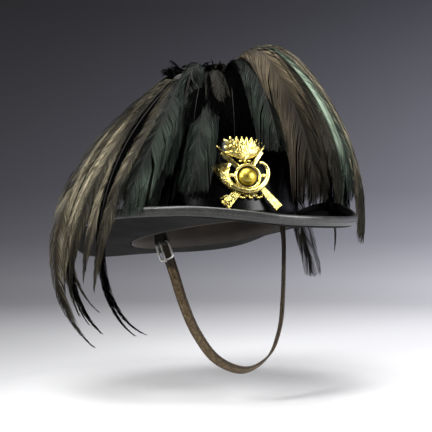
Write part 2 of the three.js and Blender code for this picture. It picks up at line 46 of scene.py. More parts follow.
# the chin strap lies in a plane that slopes back from the chin
strapPlane = {"forward": 0.023, "up": 0.01, "slope": math.radians(72.3)}
strapSeat = Matrix.Translation((0, -strapPlane["forward"], strapPlane["up"]))
strapSeat = strapSeat @ Matrix.Rotation(strapPlane["slope"], 4, "X")


def linear(hexColour):
    # sRGB hex to linear RGBA
    parts = [int(hexColour[i:i + 2], 16) / 255 for i in (1, 3, 5)]
    return [c / 12.92 if c <= 0.04045 else ((c + 0.055) / 1.055) ** 2.4 for c in parts] + [1]


def setInputs(tree, node, values):
    # a socket is linked, anything else is set
    for name, value in (values or {}).items():
        if isinstance(value, bpy.types.NodeSocket):
            tree.links.new(value, node.inputs[name])
        else:
            node.inputs[name].default_value = value


def addNode(tree, kind, values=None, stops=(), output=0, **settings):
    # gives one output of the new node; stops are a colour ramp's places and hex colours
    node = tree.nodes.new("ShaderNode" + kind)
    for name, value in settings.items():
        setattr(node, name, value)
    setInputs(tree, node, values)
    if stops:
        points = node.color_ramp.elements
        while len(points) < len(stops):
            points.new(0.5)
        for point, (place, colour) in zip(points, stops):
            point.position = place
            point.color = linear(colour)
    return node.outputs[output]


def startMaterial(name):
    material = bpy.data.materials.new(name)
    material.use_nodes = True
    tree = material.node_tree
    return material, tree, addNode(tree, "TexCoord", output="Object")


def perMetre(size):
    # texture scale that gives features of about this size in mm
    return 1 / (size * mm)


def perWave(size):
    # scale of a wave texture whose waves are this long in mm
    return math.pi / 10 / (size * mm)


def wornFinish(name, surface, wear, tints, gloss=None, relief=None, matted=False):
    # patches of wear change colour and gloss, and a finer pattern stands out by a depth in mm
    material, tree, place = startMaterial(name)
    patches = addNode(tree, "TexNoise", {"Vector": place, **wear})
    shade = patches
    finish = dict(surface)
    if gloss:
        span = {"Value": patches, "To Min": gloss[0], "To Max": gloss[1]}
        finish["Roughness"] = addNode(tree, "MapRange", span)
    if relief:
        kind, depth, pattern = relief
        height = addNode(tree, kind, {"Vector": place, **pattern})
        finish["Normal"] = addNode(tree, "Bump", {"Height": height, "Distance": depth * mm, "Strength": 1})
        if matted:
            shade = addNode(tree, "Math", {0: height, 1: patches}, operation="MULTIPLY")
    finish["Base Color"] = addNode(tree, "ValToRGB", {"Fac": shade}, tints)
    setInputs(tree, tree.nodes["Principled BSDF"], finish)
    return material


# felt stiffened with shellac and brushed: black, with a soft wide gloss and a fine nap
feltGloss = wornFinish("lacqueredFelt", {"IOR": 1.5, "Specular IOR Level": 0.14},
                       {"Scale": perMetre(28), "Detail": 5}, [(0.3, "#040404"), (0.7, "#0a0a0a")],
                       (0.2, 0.32), ("TexNoise", 0.05, {"Scale": perMetre(0.9), "Detail": 4}))
# bare felt on the brim's underside and in the crown: dull charcoal with matted fibres
fibres = {"Scale": perMetre(1.1), "Detail": 8, "Roughness": 0.75, "Distortion": 1.5}
feltBare = wornFinish("bareFelt", {"Roughness": 0.9, "IOR": 1.45, "Specular IOR Level": 0.08},
                      {"Scale": perMetre(20), "Detail": 6}, [(0.12, "#0e0e0e"), (0.42, "#242423")],
                      relief=("TexNoise", 0.25, fibres), matted=True)
# varnished calf leather: dark grey with a fine grain, scuffed paler in patches
edgeLeather = wornFinish("bindingLeather", {"IOR": 1.5},
                         {"Scale": perMetre(7), "Detail": 8, "Roughness": 0.7},
                         [(0.3, "#121211"), (0.55, "#222220"), (0.75, "#3c3b36")], (0.22, 0.48),
                         ("TexVoronoi", 0.08, {"Scale": perMetre(0.9)}))
# waxed linen thread, dulled by dirt
stitchThread = wornFinish("linenThread", {"Roughness": 0.7}, {"Scale": perMetre(0.6), "Detail": 3},
                          [(0.3, "#1c1b19"), (0.7, "#45433d")])
# vegetable-tanned sheepskin, browned by wear: smooth, with fine pores and dark stains
innerLeather = wornFinish("sweatLeather", {"Roughness": 0.55, "IOR": 1.45},
                          {"Scale": perMetre(25), "Detail": 6},
                          [(0.3, "#1c1610"), (0.6, "#30271e"), (0.8, "#463b2e")],
                          relief=("TexVoronoi", 0.08, {"Scale": perMetre(1.2)}))
# drawn steel wire with worn nickel plating: pale grey, bright in places
wire = wornFinish("nickelSteel", {"Metallic": 1}, {"Scale": perMetre(3), "Detail": 6},
                  [(0.3, "#aaa69c"), (0.55, "#dad8d2"), (0.8, "#f0efec")], (0.3, 0.55))
# the shafts are horn, dark brown and polished
quill = wornFinish("quillHorn", {"Roughness": 0.45, "IOR": 1.55, "Specular IOR Level": 0.15},
                   {"Scale": perMetre(12), "Detail": 4}, [(0.35, "#080605"), (0.65, "#1c1611")])


# stamped brass with fire gilding: bright yellow gold, faint hammer marks and soft rubbing
def giltBrass(name, tints, gloss, markDepth, markSize):
    return wornFinish(name, {"Metallic": 1}, {"Scale": perMetre(5), "Detail": 6},
                      list(zip((0.3, 0.55, 0.8), tints)), gloss,
                      ("TexNoise", markDepth, {"Scale": perMetre(markSize), "Detail": 3}))


paleGold = ["#b39d4e", "#cfbf74", "#e9deae"]
deepGold = ["#8c7a2a", "#b09c3c", "#ccbb5e"]
gilt = giltBrass("giltBrass", paleGold, (0.18, 0.34), 0.08, 1.6)
# bell and butts, worked with small leaves
chased = giltBrass("chasedGiltBrass", paleGold, (0.18, 0.34), 1.2, 2.2)
# the smooth ball, a deeper gold
burnished = giltBrass("burnishedGiltBrass", deepGold, (0.26, 0.4), 0.02, 9)


# harness leather, worn: cracked grain, rubbed pale on the face, dark along the edges, and darker up under the
# hat with painted shade
def harnessLeather(name, tints):
    material, tree, place = startMaterial(name)
    grain = addNode(tree, "TexVoronoi", {"Vector": place, "Scale": perMetre(0.8)})
    rubbed = addNode(tree, "TexNoise", {"Vector": place, "Scale": perMetre(3), "Detail": 9,
                                        "Roughness": 0.75})
    fromSeat = addNode(tree, "VectorMath", {0: place, 1: strapSeat.translation}, operation="SUBTRACT")
    across = addNode(tree, "VectorMath", {0: fromSeat, 1: strapSeat.col[2].xyz}, output="Value",
                     operation="DOT_PRODUCT")
    fromMiddle = addNode(tree, "Math", {0: across}, operation="ABSOLUTE")
    edge = addNode(tree, "MapRange", {"Value": fromMiddle, "From Min": 3.6 * mm, "From Max": 5.6 * mm,
                                      "To Max": 0.16})
    # painted shade: darker on the strap's upper part, up under the hat
    height = addNode(tree, "SeparateXYZ", {"Vector": place}, output="Z")
    paintedShadeUp = addNode(tree, "MapRange", {"Value": height, "From Min": -36 * mm, "From Max": -25 * mm,
                                        "To Max": 0.34})
    darkEdgesAndPaintedShade = addNode(tree, "Math", {0: edge, 1: paintedShadeUp}, operation="ADD")
    shade = addNode(tree, "Math", {0: rubbed, 1: darkEdgesAndPaintedShade}, operation="SUBTRACT")
    setInputs(tree, tree.nodes["Principled BSDF"], {
        "IOR": 1.48, "Specular IOR Level": 0.25,
        "Base Color": addNode(tree, "ValToRGB", {"Fac": shade}, list(zip((0.3, 0.5, 0.72), tints))),
        "Roughness": addNode(tree, "MapRange", {"Value": rubbed, "To Min": 0.42, "To Max": 0.7}),
        "Normal": addNode(tree, "Bump", {"Height": grain, "Distance": 0.12 * mm, "Strength": 1})})
    return material


strapLeather = harnessLeather("harnessLeather", ["#241b10", "#4c3e29", "#8a7756"])
tabLeather = harnessLeather("blackHarnessLeather", ["#15120f", "#2a251f", "#453d33"])


# cock's tail feather: barbs lie side by side like silk, with a structural sheen of one hue
def featherVane(name, tints, sheenTint, gloss, shine, bend=1.5):
    material, tree, place = startMaterial(name)
    barbs = addNode(tree, "UVMap", uv_map="barbs")
    # the tone attribute carries painted light and painted shade as well as each feather's own tone
    tone = addNode(tree, "Attribute", attribute_name="featherToneAndPaintedLight")
    # lines of barbs, 1.7 mm apart: drawn coarser than the real ones so that they show
    lines = addNode(tree, "TexWave", {"Vector": barbs, "Scale": perWave(1.7), "Distortion": 0.8, "Detail": 1,
                                      "Detail Scale": 0.4}, output="Fac")
    stretched = addNode(tree, "Mapping", {"Vector": barbs, "Scale": (perMetre(2), perMetre(26), 1)})
    streaks = addNode(tree, "TexNoise", {"Vector": stretched, "Scale": 1, "Detail": 3})
    patches = addNode(tree, "TexNoise", {"Vector": place, "Scale": perMetre(38), "Detail": 1})
    shade = addNode(tree, "SeparateColor", {"Color": tone})
    for pattern, swing in ((streaks, 0.4), (patches, 0.3)):
        uneven = addNode(tree, "MapRange", {"Value": pattern, "To Min": -swing, "To Max": swing})
        shade = addNode(tree, "Math", {0: shade, 1: uneven}, operation="ADD")
    setInputs(tree, tree.nodes["Principled BSDF"], {
        "Roughness": gloss, "IOR": bend, "Specular IOR Level": shine, "Specular Tint": linear(sheenTint),
        "Base Color": addNode(tree, "ValToRGB", {"Fac": shade}, list(zip((0.1, 0.45, 0.9), tints))),
        "Normal": addNode(tree, "Bump", {"Height": lines, "Distance": 0.3 * mm, "Strength": 1})})
    return material


vaneOlive = featherVane("oliveVane", ["#050403", "#332f26", "#9c937b"], "#f0ead2", 0.4, 0.18)
vaneGreen = featherVane("greenBlackVane", ["#030403", "#242d26", "#90a08c"], "#e2f0e0", 0.34, 0.15)
vaneBrown = featherVane("brownVane", ["#060504", "#2f2920", "#80735d"], "#f0e4d0", 0.4, 0.15)
# near-black and matt, with next to no sheen: painted shade for feathers in shadow, inside and under the plume
vaneShadeBlack = featherVane("shadeBlackVane", ["#010101", "#030303", "#0d0d0c"], "#d2dad3", 0.7, 0.02, 1.25)


# thread wound round the quills: nearly black, with a brown cast
def bindingThread():
    material, tree, place = startMaterial("bindingThread")
    turns = addNode(tree, "TexWave", {"Vector": place, "Scale": perWave(0.9), "Distortion": 2, "Detail": 2},
                    output="Fac", bands_direction="Z")
    setInputs(tree, tree.nodes["Principled BSDF"], {
        "Roughness": 0.8,
        "Base Color": addNode(tree, "ValToRGB", {"Fac": turns}, [(0.2, "#080605"), (0.8, "#18110e")]),
        "Normal": addNode(tree, "Bump", {"Height": turns, "Distance": 0.3 * mm, "Strength": 1})})
    return material


wrapping = bindingThread()
print("materials made")


def addObject(name, data):
    made = bpy.data.objects.new(name, data)
    bpy.context.scene.collection.objects.link(made)
    return made


def placePiece(name, mesh, nodes):
    piece = addObject(name, mesh)
    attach(piece, "root")
    if nodes:
        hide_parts(*nodes)


def joinPiece(name, bm, materials, nodes, sharpAngle, toPlace=None):
    # toPlace takes each point of a plain shape to where it lies on the hat
    for vert in bm.verts:
        vert.co = toPlace(vert.co) if toPlace else vert.co
    mesh = bpy.data.meshes.new(name)
    bm.to_mesh(mesh)
    bm.free()
    for material in materials:
        mesh.materials.append(material)
    mesh.shade_smooth()
    mesh.set_sharp_from_angle(angle=math.radians(sharpAngle))
    placePiece(name, mesh, nodes)


def spinSection(section, turns, closed):
    # spins a section of (radius, height) round the upright axis
    bm = bmesh.new()
    verts = [bm.verts.new((radius * mm, 0, height * mm)) for radius, height in section]
    following = verts[1:] + verts[:1] if closed else verts[1:]
    edges = [bm.edges.new(pair) for pair in zip(verts, following)]
    bmesh.ops.spin(bm, geom=verts + edges, cent=(0, 0, 0), axis=(0, 0, 1), angle=2 * math.pi,
                   steps=turns, use_merge=True)
    bmesh.ops.remove_doubles(bm, verts=bm.verts, dist=1e-6)
    bmesh.ops.recalc_face_normals(bm, faces=bm.faces)
    return bm


def wireSection(radius, thick, height=0, sides=12):
    # section of a ring of round wire
    turns = [2 * math.pi * step / sides for step in range(sides)]
    return [(radius + thick * math.cos(turn), height + thick * math.sin(turn)) for turn in turns]


def curveThrough(p0, p1, p2, p3, u):
    # smooth curve from p1 to p2, with their neighbours on both sides
    bend = (2 * p0 - 5 * p1 + 4 * p2 - p3) * u + (3 * p1 - 3 * p2 + p3 - p0) * u * u
    return p1 + (p2 - p0 + bend) * (0.5 * u)


# crown: a rounded dome, its wall even all over
crown = {"side": 83.9, "front": 101.9, "height": 118, "roundness": 2.6, "evenTo": 0.9, "wall": 2.4,
         "base": 1.1, "flare": 4, "flareHeight": 9, "flareCurve": 2.2, "flareSteps": 6, "domeSteps": 20,
         "turns": 96}
crownRadius = (crown["side"] + crown["front"]) / 2
faceDown = -0.2  # faces that look further down than this are bare felt


def ovalHalf(radius, half):
    # round radius to the oval's half width
    return radius + (half - crownRadius) * min(1, radius / (crown["evenTo"] * crownRadius))


def toOval(co):
    angle = math.atan2(co.y, co.x)
    radius = math.hypot(co.x, co.y) / mm
    return Vector((ovalHalf(radius, crown["side"]) * math.cos(angle) * mm,
                   ovalHalf(radius, crown["front"]) * math.sin(angle) * mm, co.z))


def onCrown(co):
    return hatTilt @ toOval(co)


def domeLine(radius, top, fromHeight):
    power = 2 / crown["roundness"]
    line = []
    for step in range(crown["domeSteps"] + 1):
        angle = math.pi / 2 * step / crown["domeSteps"]
        height = top * math.sin(angle) ** power
        if height > fromHeight:
            line.append((radius * max(0, math.cos(angle)) ** power, height))
    line[-1] = (0, top)
    return line


def makeCrown():
    inner = crownRadius - crown["wall"]
    section = domeLine(inner, crown["height"] - crown["wall"], crown["flareHeight"])[::-1]
    section += [(inner, crown["flareHeight"] / 2), (inner + crown["flare"] / 3, -crown["base"]),
                (crownRadius + crown["flare"], -crown["base"])]
    for step in range(crown["flareSteps"] + 1):
        share = step / crown["flareSteps"]
        section.append((crownRadius + crown["flare"] * (1 - share) ** crown["flareCurve"],
                        crown["base"] + (crown["flareHeight"] - crown["base"]) * share))
    section += domeLine(crownRadius, crown["height"], crown["flareHeight"] + 2)
    bm = spinSection(section, crown["turns"], False)
    for face in bm.faces:
        inside = face.normal.dot(face.calc_center_median()) < 0
        face.material_index = 1 if inside or face.normal.z < faceDown else 0
    joinPiece("feltCrown", bm, [feltGloss, feltBare], ["crown"], 50, onCrown)


# brim: a sheet that rises and dips round the head, with a lip turned up all round
brim = {"innerSide": 88.2, "innerFront": 106.2, "rimSide": 143, "rimFront": 167, "felt": 2.2, "droop": 1.6,
        "sheetSteps": 14, "turns": 160}
lip = {"bendRadius": 5, "turn": math.radians(75), "stand": 4, "bendSteps": 7}
rimRise = [23, 3, 5, 2, 17, 6, -14, -9]  # lip height from the wearer's left by the back, an eighth turn apart
# binding: leather folded over the lip
# a leg's points stand proud by legProud, the fold's lie past the lip's edge
binding = {"leather": 0.9, "cover": 7, "clear": 0.3, "hem": 0.4, "legProud": [-0.5, 0, 0.1, 0.05, 0, -0.3],
           "foldFrom": -1, "legEnd": 0.3, "fold": [(1.1, -0.6), (1.3, 0), (1.1, 0.6)]}
lipBend = lip["bendRadius"] * lip["turn"]
lipLength = lipBend + lip["stand"]
lipRise = lip["bendRadius"] * (1 - math.cos(lip["turn"])) + lip["stand"] * math.sin(lip["turn"])
lipReach = lip["bendRadius"] * math.sin(lip["turn"]) + lip["stand"] * math.cos(lip["turn"])
bindingBuild = brim["felt"] / 2 + binding["clear"] + binding["leather"]
sheetSide = brim["rimSide"] - lipReach - bindingBuild
sheetFront = brim["rimFront"] - lipReach - bindingBuild
innerRound = (brim["innerSide"] + brim["innerFront"]) / 2
sheetRound = (sheetSide + sheetFront) / 2


def rimHeight(angle):
    # smooth closed curve through the rim's heights
    place = angle / (2 * math.pi) % 1 * len(rimRise)
    index = int(place)
    return curveThrough(*(rimRise[(index + k) % len(rimRise)] for k in (-1, 0, 1, 2)), place - index)


def lipStation(distance, offset):
    # round radius and height on the lip, at a distance along it and an offset to its inner side
    turned = min(distance, lipBend) / lip["bendRadius"]
    straight = max(0, distance - lipBend)
    out = lip["bendRadius"] * math.sin(turned) + straight * math.cos(turned)
    up = lip["bendRadius"] * (1 - math.cos(turned)) + straight * math.sin(turned)
    return (sheetRound + out - offset * math.sin(turned), up + offset * math.cos(turned))


def onBrim(co):
    # a round ring's point to its place on the oval brim, with the rise of the rim there
    angle = math.atan2(co.y, co.x)
    radius = math.hypot(co.x, co.y) / mm
    share = min(1, max(0, (radius - innerRound) / (sheetRound - innerRound)))
    side = radius + (brim["innerSide"] - innerRound) * (1 - share) + (sheetSide - sheetRound) * share
    front = radius + (brim["innerFront"] - innerRound) * (1 - share) + (sheetFront - sheetRound) * share
    rise = (rimHeight(angle) - lipRise / 2) * share ** brim["droop"]
    return hatTilt @ (Vector((side * math.cos(angle), front * math.sin(angle), co.z / mm + rise)) * mm)


def makeBrim():
    half = brim["felt"] / 2
    steps = brim["sheetSteps"]
    sheet = [innerRound + (sheetRound - innerRound) * step / steps for step in range(steps)]
    along = [lipBend * step / lip["bendSteps"] for step in range(lip["bendSteps"] + 1)] + [lipLength]
    section = [(radius, -half) for radius in sheet] + [lipStation(d, -half) for d in along]
    section += [lipStation(d, half) for d in reversed(along)] + [(radius, half) for radius in reversed(sheet)]
    bm = spinSection(section, brim["turns"], True)
    for face in bm.faces:
        face.material_index = 1 if face.normal.z < faceDown else 0
    joinPiece("feltBrim", bm, [feltGloss, feltBare], ["brim"], 50, onBrim)


def makeBinding():
    # folded leather: outer leg, a rounded fold over the edge, inner leg
    thin = bindingBuild - binding["leather"]
    foot = lipLength - binding["cover"]
    end = lipLength + binding["legEnd"]
    places = [foot, foot + binding["hem"], (foot + lipBend) / 2, lipBend,
              lipLength + binding["foldFrom"], end]
    leg = [(d, bindingBuild + proud) for d, proud in zip(places, binding["legProud"])]
    section = [lipStation(d, -offset) for d, offset in leg]
    section += [lipStation(lipLength + past, bindingBuild * share) for past, share in binding["fold"]]
    section += [lipStation(d, offset) for d, offset in reversed(leg)]
    section += [lipStation(d, thin) for d in (foot, lipBend, end)]
    section += [lipStation(d, -thin) for d in (end, lipBend, foot)]
    bm = spinSection(section, brim["turns"], True)
    joinPiece("edgeBinding", bm, [edgeLeather], ["brim_binding"], 60, onBrim)


stitching = {"pitch": 4.2, "length": 1.6, "thick": 0.32, "fromFold": 3.9, "proud": 0.15}


def makeStitches():
    # one row of stitches on each face of the binding
    bm = bmesh.new()
    count = round(2 * math.pi * sheetRound / stitching["pitch"])
    size = Matrix.Diagonal((stitching["length"], stitching["thick"], stitching["thick"], 1 / mm)) * mm
    for offset in (-bindingBuild - stitching["proud"], bindingBuild + stitching["proud"]):
        radius, height = lipStation(lipLength - stitching["fromFold"], offset)
        angles = [2 * math.pi * step / count for step in range(count)]
        spots = [onBrim(Vector((radius * math.cos(a), radius * math.sin(a), height)) * mm) for a in angles]
        for step, spot in enumerate(spots):
            along = (spots[(step + 1) % count] - spots[step - 1]).normalized()
            across = along.orthogonal().normalized()
            turned = Matrix((along, across, along.cross(across))).transposed().to_4x4()
            bmesh.ops.create_uvsphere(bm, u_segments=6, v_segments=4, radius=1,
                                      matrix=Matrix.Translation(spot) @ turned @ size)
    joinPiece("bindingStitches", bm, [stitchThread], [], 80)


sweat = {"leather": 1.2, "low": -1.8, "high": 30, "lean": 1.45, "edge": 0.4, "rows": (0.33, 0.66, 1)}


def makeSweatband():
    outside = crownRadius - crown["wall"] - binding["clear"]
    inside = outside - sweat["leather"]
    middle = (inside + outside) / 2
    foot = sweat["low"] + sweat["edge"]
    rise = [(sweat["lean"] * share, sweat["high"] * share - sweat["edge"]) for share in sweat["rows"]]
    section = [(inside, foot), (middle, sweat["low"]), (outside, foot)]
    section += [(outside - lean, height) for lean, height in rise]
    section.append((middle - sweat["lean"], sweat["high"]))
    section += [(inside - lean, height) for lean, height in reversed(rise)]
    bm = spinSection(section, crown["turns"], True)
    joinPiece("sweatBand", bm, [innerLeather], ["sweatband"], 60, onCrown)


makeCrown()
makeBrim()
makeBinding()
makeStitches()
makeSweatband()
print("hat body made")

# plume: bunches of long feathers bound at the top of the crown, arching over and falling round the hat
plume = {"seed": 5, "rootOut": 7, "samples": 120, "clear": 4, "freeFrom": 10, "brimFrom": 0.65,
         "brimRun": 0.33, "lipFrom": 0.93, "topRise": 28, "liftStep": 2}
# where a bunch is bound, and for its mates, the feathers below: how many have the lock's colour,
# the rest being near-black with painted shade, how far down they may be set, and by how many degrees
# they may be raised to clear the hat
bunches = {
    "right": {"root": (-28, 6, 157), "coloured": 0.3, "settle": 9, "rise": 4},
    "front": {"root": (-6, -2, 157), "coloured": 0.15, "settle": 9, "rise": 1},
    "left": {"root": (14, -8, 158), "coloured": 0.3, "settle": 9, "rise": 1},
    "back": {"root": (2, 10, 150), "coloured": 0.5, "settle": 3, "rise": 10},
}
# by colour: the share of the length where painted light is brightest, and the angle between barb and shaft
plumage = {
    "olive": {"vane": vaneOlive, "paintedLightAt": 0.52, "lean": 19},
    "green": {"vane": vaneGreen, "paintedLightAt": 0.62, "lean": 21},
    "brown": {"vane": vaneBrown, "paintedLightAt": 0.33, "lean": 21},
    "black": {"vane": vaneShadeBlack, "paintedLightAt": 0.5, "lean": 21},
}
# one row for each lock: the way it falls, its slopes at quill, shoulder and tip, how it is rolled,
# and the number of its feathers on top and below
lockColumns = ["bunch", "bearing", "drift", "length", "quill", "shoulder", "tip", "arch", "width", "roll",
               "taper", "colour", "tone", "tops", "mates"]
lockRows = [
    ["right", 108, 0, 338, 25, -41, -141, 9, 30, 50, 1.1, "olive", 0.5, 1, 4],
    ["right", 103, -2, 318, 22, -42, -140, 10, 38, 46, 1.1, "olive", 0.55, 2, 5],
    ["right", 97, 2, 292, 25, -43, -118, 12, 40, 42, 1, "olive", 0.6, 2, 5],
    ["right", 80, 8, 271, 22, -43, -97, 11, 42, 34, 1, "olive", 0.58, 2, 5],
    ["right", 54, 29, 269, 22, -43, -91, 11, 42, 24, 0.9, "olive", 0.46, 2, 5],
    ["right", 60, 10, 332, 20, -36, -152, 11, 11, 24, 0.8, "black", 0.3, 1, 0],
    ["right", 60, 12, 338, 20, -36, -162, 10, 11, 24, 0.7, "black", 0.3, 1, 0],
    ["right", 84, 20, 310, 3, -40, -136, 8, 11, 30, 0.7, "black", 0.3, 1, 0],
    ["right", 90, 18, 298, 3, -42, -126, 10, 11, 30, 0.7, "black", 0.3, 1, 0],
    ["right", 87, 20, 261, 3, -42, -109, 10, 10, 30, 0.7, "black", 0.3, 1, 0],
    ["right", 42, 22, 196, 22, -43, -61, 11, 34, 18, 0.4, "green", 0.18, 1, 5],
    ["front", 50, 25, 196, 78, -70, -59, 29, 34, 20, 0.4, "green", 0.18, 1, 5],
    ["front", 29, 20, 176, 80, -50, -62, 16, 36, 8, 0.35, "green", 0.12, 1, 4],
    ["front", 14, 6, 84, 70, -36, -80, 18, 30, 0, 0.4, "olive", 0.02, 1, 3],
    ["front", 40, 0, 104, 60, -38, -80, 14, 28, 8, 0.4, "black", 0.2, 1, 3],
    ["front", 12, 0, 100, 60, -36, -82, 14, 28, 0, 0.4, "black", 0.2, 1, 4],
    ["left", 24, 0, 112, 60, -38, -83, 16, 28, 0, 0.4, "black", 0.2, 1, 3],
    ["left", 10, 0, 128, 70, -44, -84, 22, 30, -10, 0.5, "black", 0.2, 1, 4],
    ["left", -2, 2, 160, 85, -46, -75, 33, 36, -14, 0.5, "green", 0.05, 1, 5],
    ["left", -16, -1, 232, 82, -51, -85, 46, 46, -28, 0.5, "brown", 0.46, 1, 4],
    ["left", -28, 0, 240, 83, -46, -88, 47, 40, -34, 0.5, "olive", 0.3, 2, 4],
    ["left", -40, -1, 243, 84, -41, -90, 47, 40, -40, 0.5, "green", 0.66, 2, 4],
    ["left", -58, 2, 297, 79, -48, -96, 57, 40, -46, 0.4, "olive", 0.66, 2, 5],
    ["left", -76, 0, 258, 78, -42, -96, 52, 36, -30, 0.3, "green", 0.5, 1, 9],
    ["left", -94, 0, 262, 78, -40, -97, 50, 34, -15, 0.3, "black", 0.4, 1, 9],
    ["left", -102, 20, 251, 35, -31, -99, 12, 20, 0, 0.7, "olive", 0.35, 1, 1],
    ["left", -122, 20, 284, 69, -43, -81, 11, 36, 0, 0.3, "brown", 0.18, 1, 2],
    ["back", -128, 0, 280, 78, -34, -98, 46, 38, 0, 0.5, "olive", 0.5, 2, 9],
    ["back", -145, 0, 284, 78, -32, -98, 44, 38, 0, 0.5, "green", 0.5, 2, 9],
    ["back", -163, 0, 288, 78, -31, -98, 44, 38, 0, 0.5, "olive", 0.5, 2, 9],
    ["back", 178, 0, 290, 78, -31, -100, 44, 38, 0, 0.5, "green", 0.5, 2, 9],
    ["back", 162, 0, 286, 78, -34, -104, 40, 38, 0, 0.5, "olive", 0.5, 2, 9],
    ["back", 147, 0, 282, 78, -30, -104, 34, 38, 10, 0.5, "green", 0.5, 2, 9],
    ["right", 131, -1, 262, 52, -43, -94, 9, 36, 25, 0.9, "olive", 0.4, 1, 6],
]
# two feathers on top lie side by side, the second one brighter
twin = {"apart": 3.6, "width": 0.5, "long": (0.9, 1), "tones": [(0.6, 1), (0.95, 1.35)]}
# a lock longer than overRim hangs past the brim, and its mates stop short of the rim
mate = {"bearing": 7, "drift": 8, "lower": 8, "arch": (0.75, 1), "width": (0.7, 0.95), "strew": 4,
        "heights": 7, "overRim": 263, "longLock": (0.45, 0.8), "shortLock": (0.65, 0.97)}
# a half vane: clumps of barbs from quill to tip, their angle at the tip,
# how they part, stray, lift and overlap
half = {"spacing": 1.6, "from": 0.03, "to": 0.992, "tipAngle": 12, "parting": 1.4, "strayAngle": 0.8,
        "ragged": 0.05, "strayReach": 0.025, "swell": 0.35, "shortest": 0.8, "lift": 0.15, "shingle": 0.3,
        "strayShingle": 0.5}
paintedLightAndPatches = {"spread": 0.28, "shade": 0.42, "paintedLightGain": 0.78, "patch": 0.03}  # painted light: brightest where it bends to the light, with random patches
shaft = {"radius": 0.55, "sides": 5, "rings": 26, "to": 0.985, "thinning": 0.86}
barbStations = np.array([0, 0.45, 0.94, 1])
barbWidths = np.array([1.2, 1.3, 1.25, 0])  # share of the spacing at each station
# a barb bends towards the feather's tip: how far ahead and how far out each station lies
barbAhead = 0.55 * barbStations + 0.45 * barbStations ** 2
barbOut = np.sin(1.4 * barbStations) / math.sin(1.4)
barbTonesGrooveShade = np.array([-0.16, -0.16, 0.05, 0.05, 0.03, 0.03, -0.04])  # painted shade along the groove by the shaft
clumpCorners = len(barbTonesGrooveShade)
clumpQuads = np.array([[0, 2, 3, 1], [2, 4, 5, 3]])
clumpTip = np.array([[4, 6, 5]])
tiltRows = np.array(hatTilt)


def compassWay(bearing):
    angle = np.radians(bearing)
    return np.stack([-np.sin(angle), -np.cos(angle), np.zeros_like(angle)], axis=-1)


def featherLine(lock):
    # the shaft's points, and the way across the vane at each
    count = plume["samples"]
    share = (np.arange(count) + 0.5) / count
    arching = np.exp(-(share * lock["length"] / lock["arch"]) ** 2)
    falling = lock["shoulder"] + (lock["tip"] - lock["shoulder"]) * share ** 2
    slope = np.radians(falling + (lock["quill"] - lock["shoulder"]) * arching)
    bearing = lock["bearing"] + lock["drift"] * share
    stride = lock["length"] / count
    step = compassWay(bearing) * np.cos(slope)[:, None] * stride
    step[:, 2] = np.sin(slope) * stride
    start = np.array(bunches[lock["bunch"]]["root"])
    start = start + compassWay(np.float64(lock["bearing"])) * plume["rootOut"]
    start = start + np.array(lock.get("shift", (0, 0, 0)))
    points = np.vstack([start, start + np.cumsum(step, axis=0)])
    across = compassWay(lock["bearing"] + lock["drift"] * np.linspace(0, 1, count + 1) + 90)
    return points, across


def touchesHat(points):
    # true where a feather would pass through the crown or the brim
    x, y, z = (points @ tiltRows).T
    room = plume["clear"]
    bulge = np.hypot(x / (crown["side"] + room), y / (crown["front"] + room)) ** crown["roundness"]
    bulge = bulge + np.clip(z / (crown["height"] + room), 0, None) ** crown["roundness"]
    inCrown = (bulge < 1) & (z > 0)
    reach = np.hypot(x / (brim["rimSide"] + room), y / (brim["rimFront"] + room))
    angle = np.arctan2(y / brim["rimFront"], x / brim["rimSide"])
    rim = np.array([rimHeight(a) for a in angle])
    share = np.clip((reach - plume["brimFrom"]) / plume["brimRun"], 0, 1)
    onLip = np.where(reach > plume["lipFrom"], lipRise + 1, 0)
    top = (rim - lipRise / 2) * share ** brim["droop"] + onLip
    inBrim = (reach < 1) & (z < top + room) & (z > top - lipRise - 2 * room)
    return bool((inCrown | inBrim).any())


def liftClear(lock, highest):
    # raises the feather's shoulder until it clears the hat, or leaves it out
    while lock["shoulder"] <= highest:
        points, across = featherLine(lock)
        if not touchesHat(points[plume["freeFrom"]:]):
            return points, across
        lock["shoulder"] += plume["liftStep"]
        lock["tip"] += plume["liftStep"] / 2
    return None


def newStore():
    return {"corners": [], "quads": [], "tips": [], "tone": [], "count": 0,
            "tubes": [], "tubeQuads": [], "tubeCount": 0}


def along(feather, table, place):
    # the table's rows at distances along the shaft
    columns = feather[table].T
    return np.stack([np.interp(place, feather["arcs"], column) for column in columns], axis=-1)


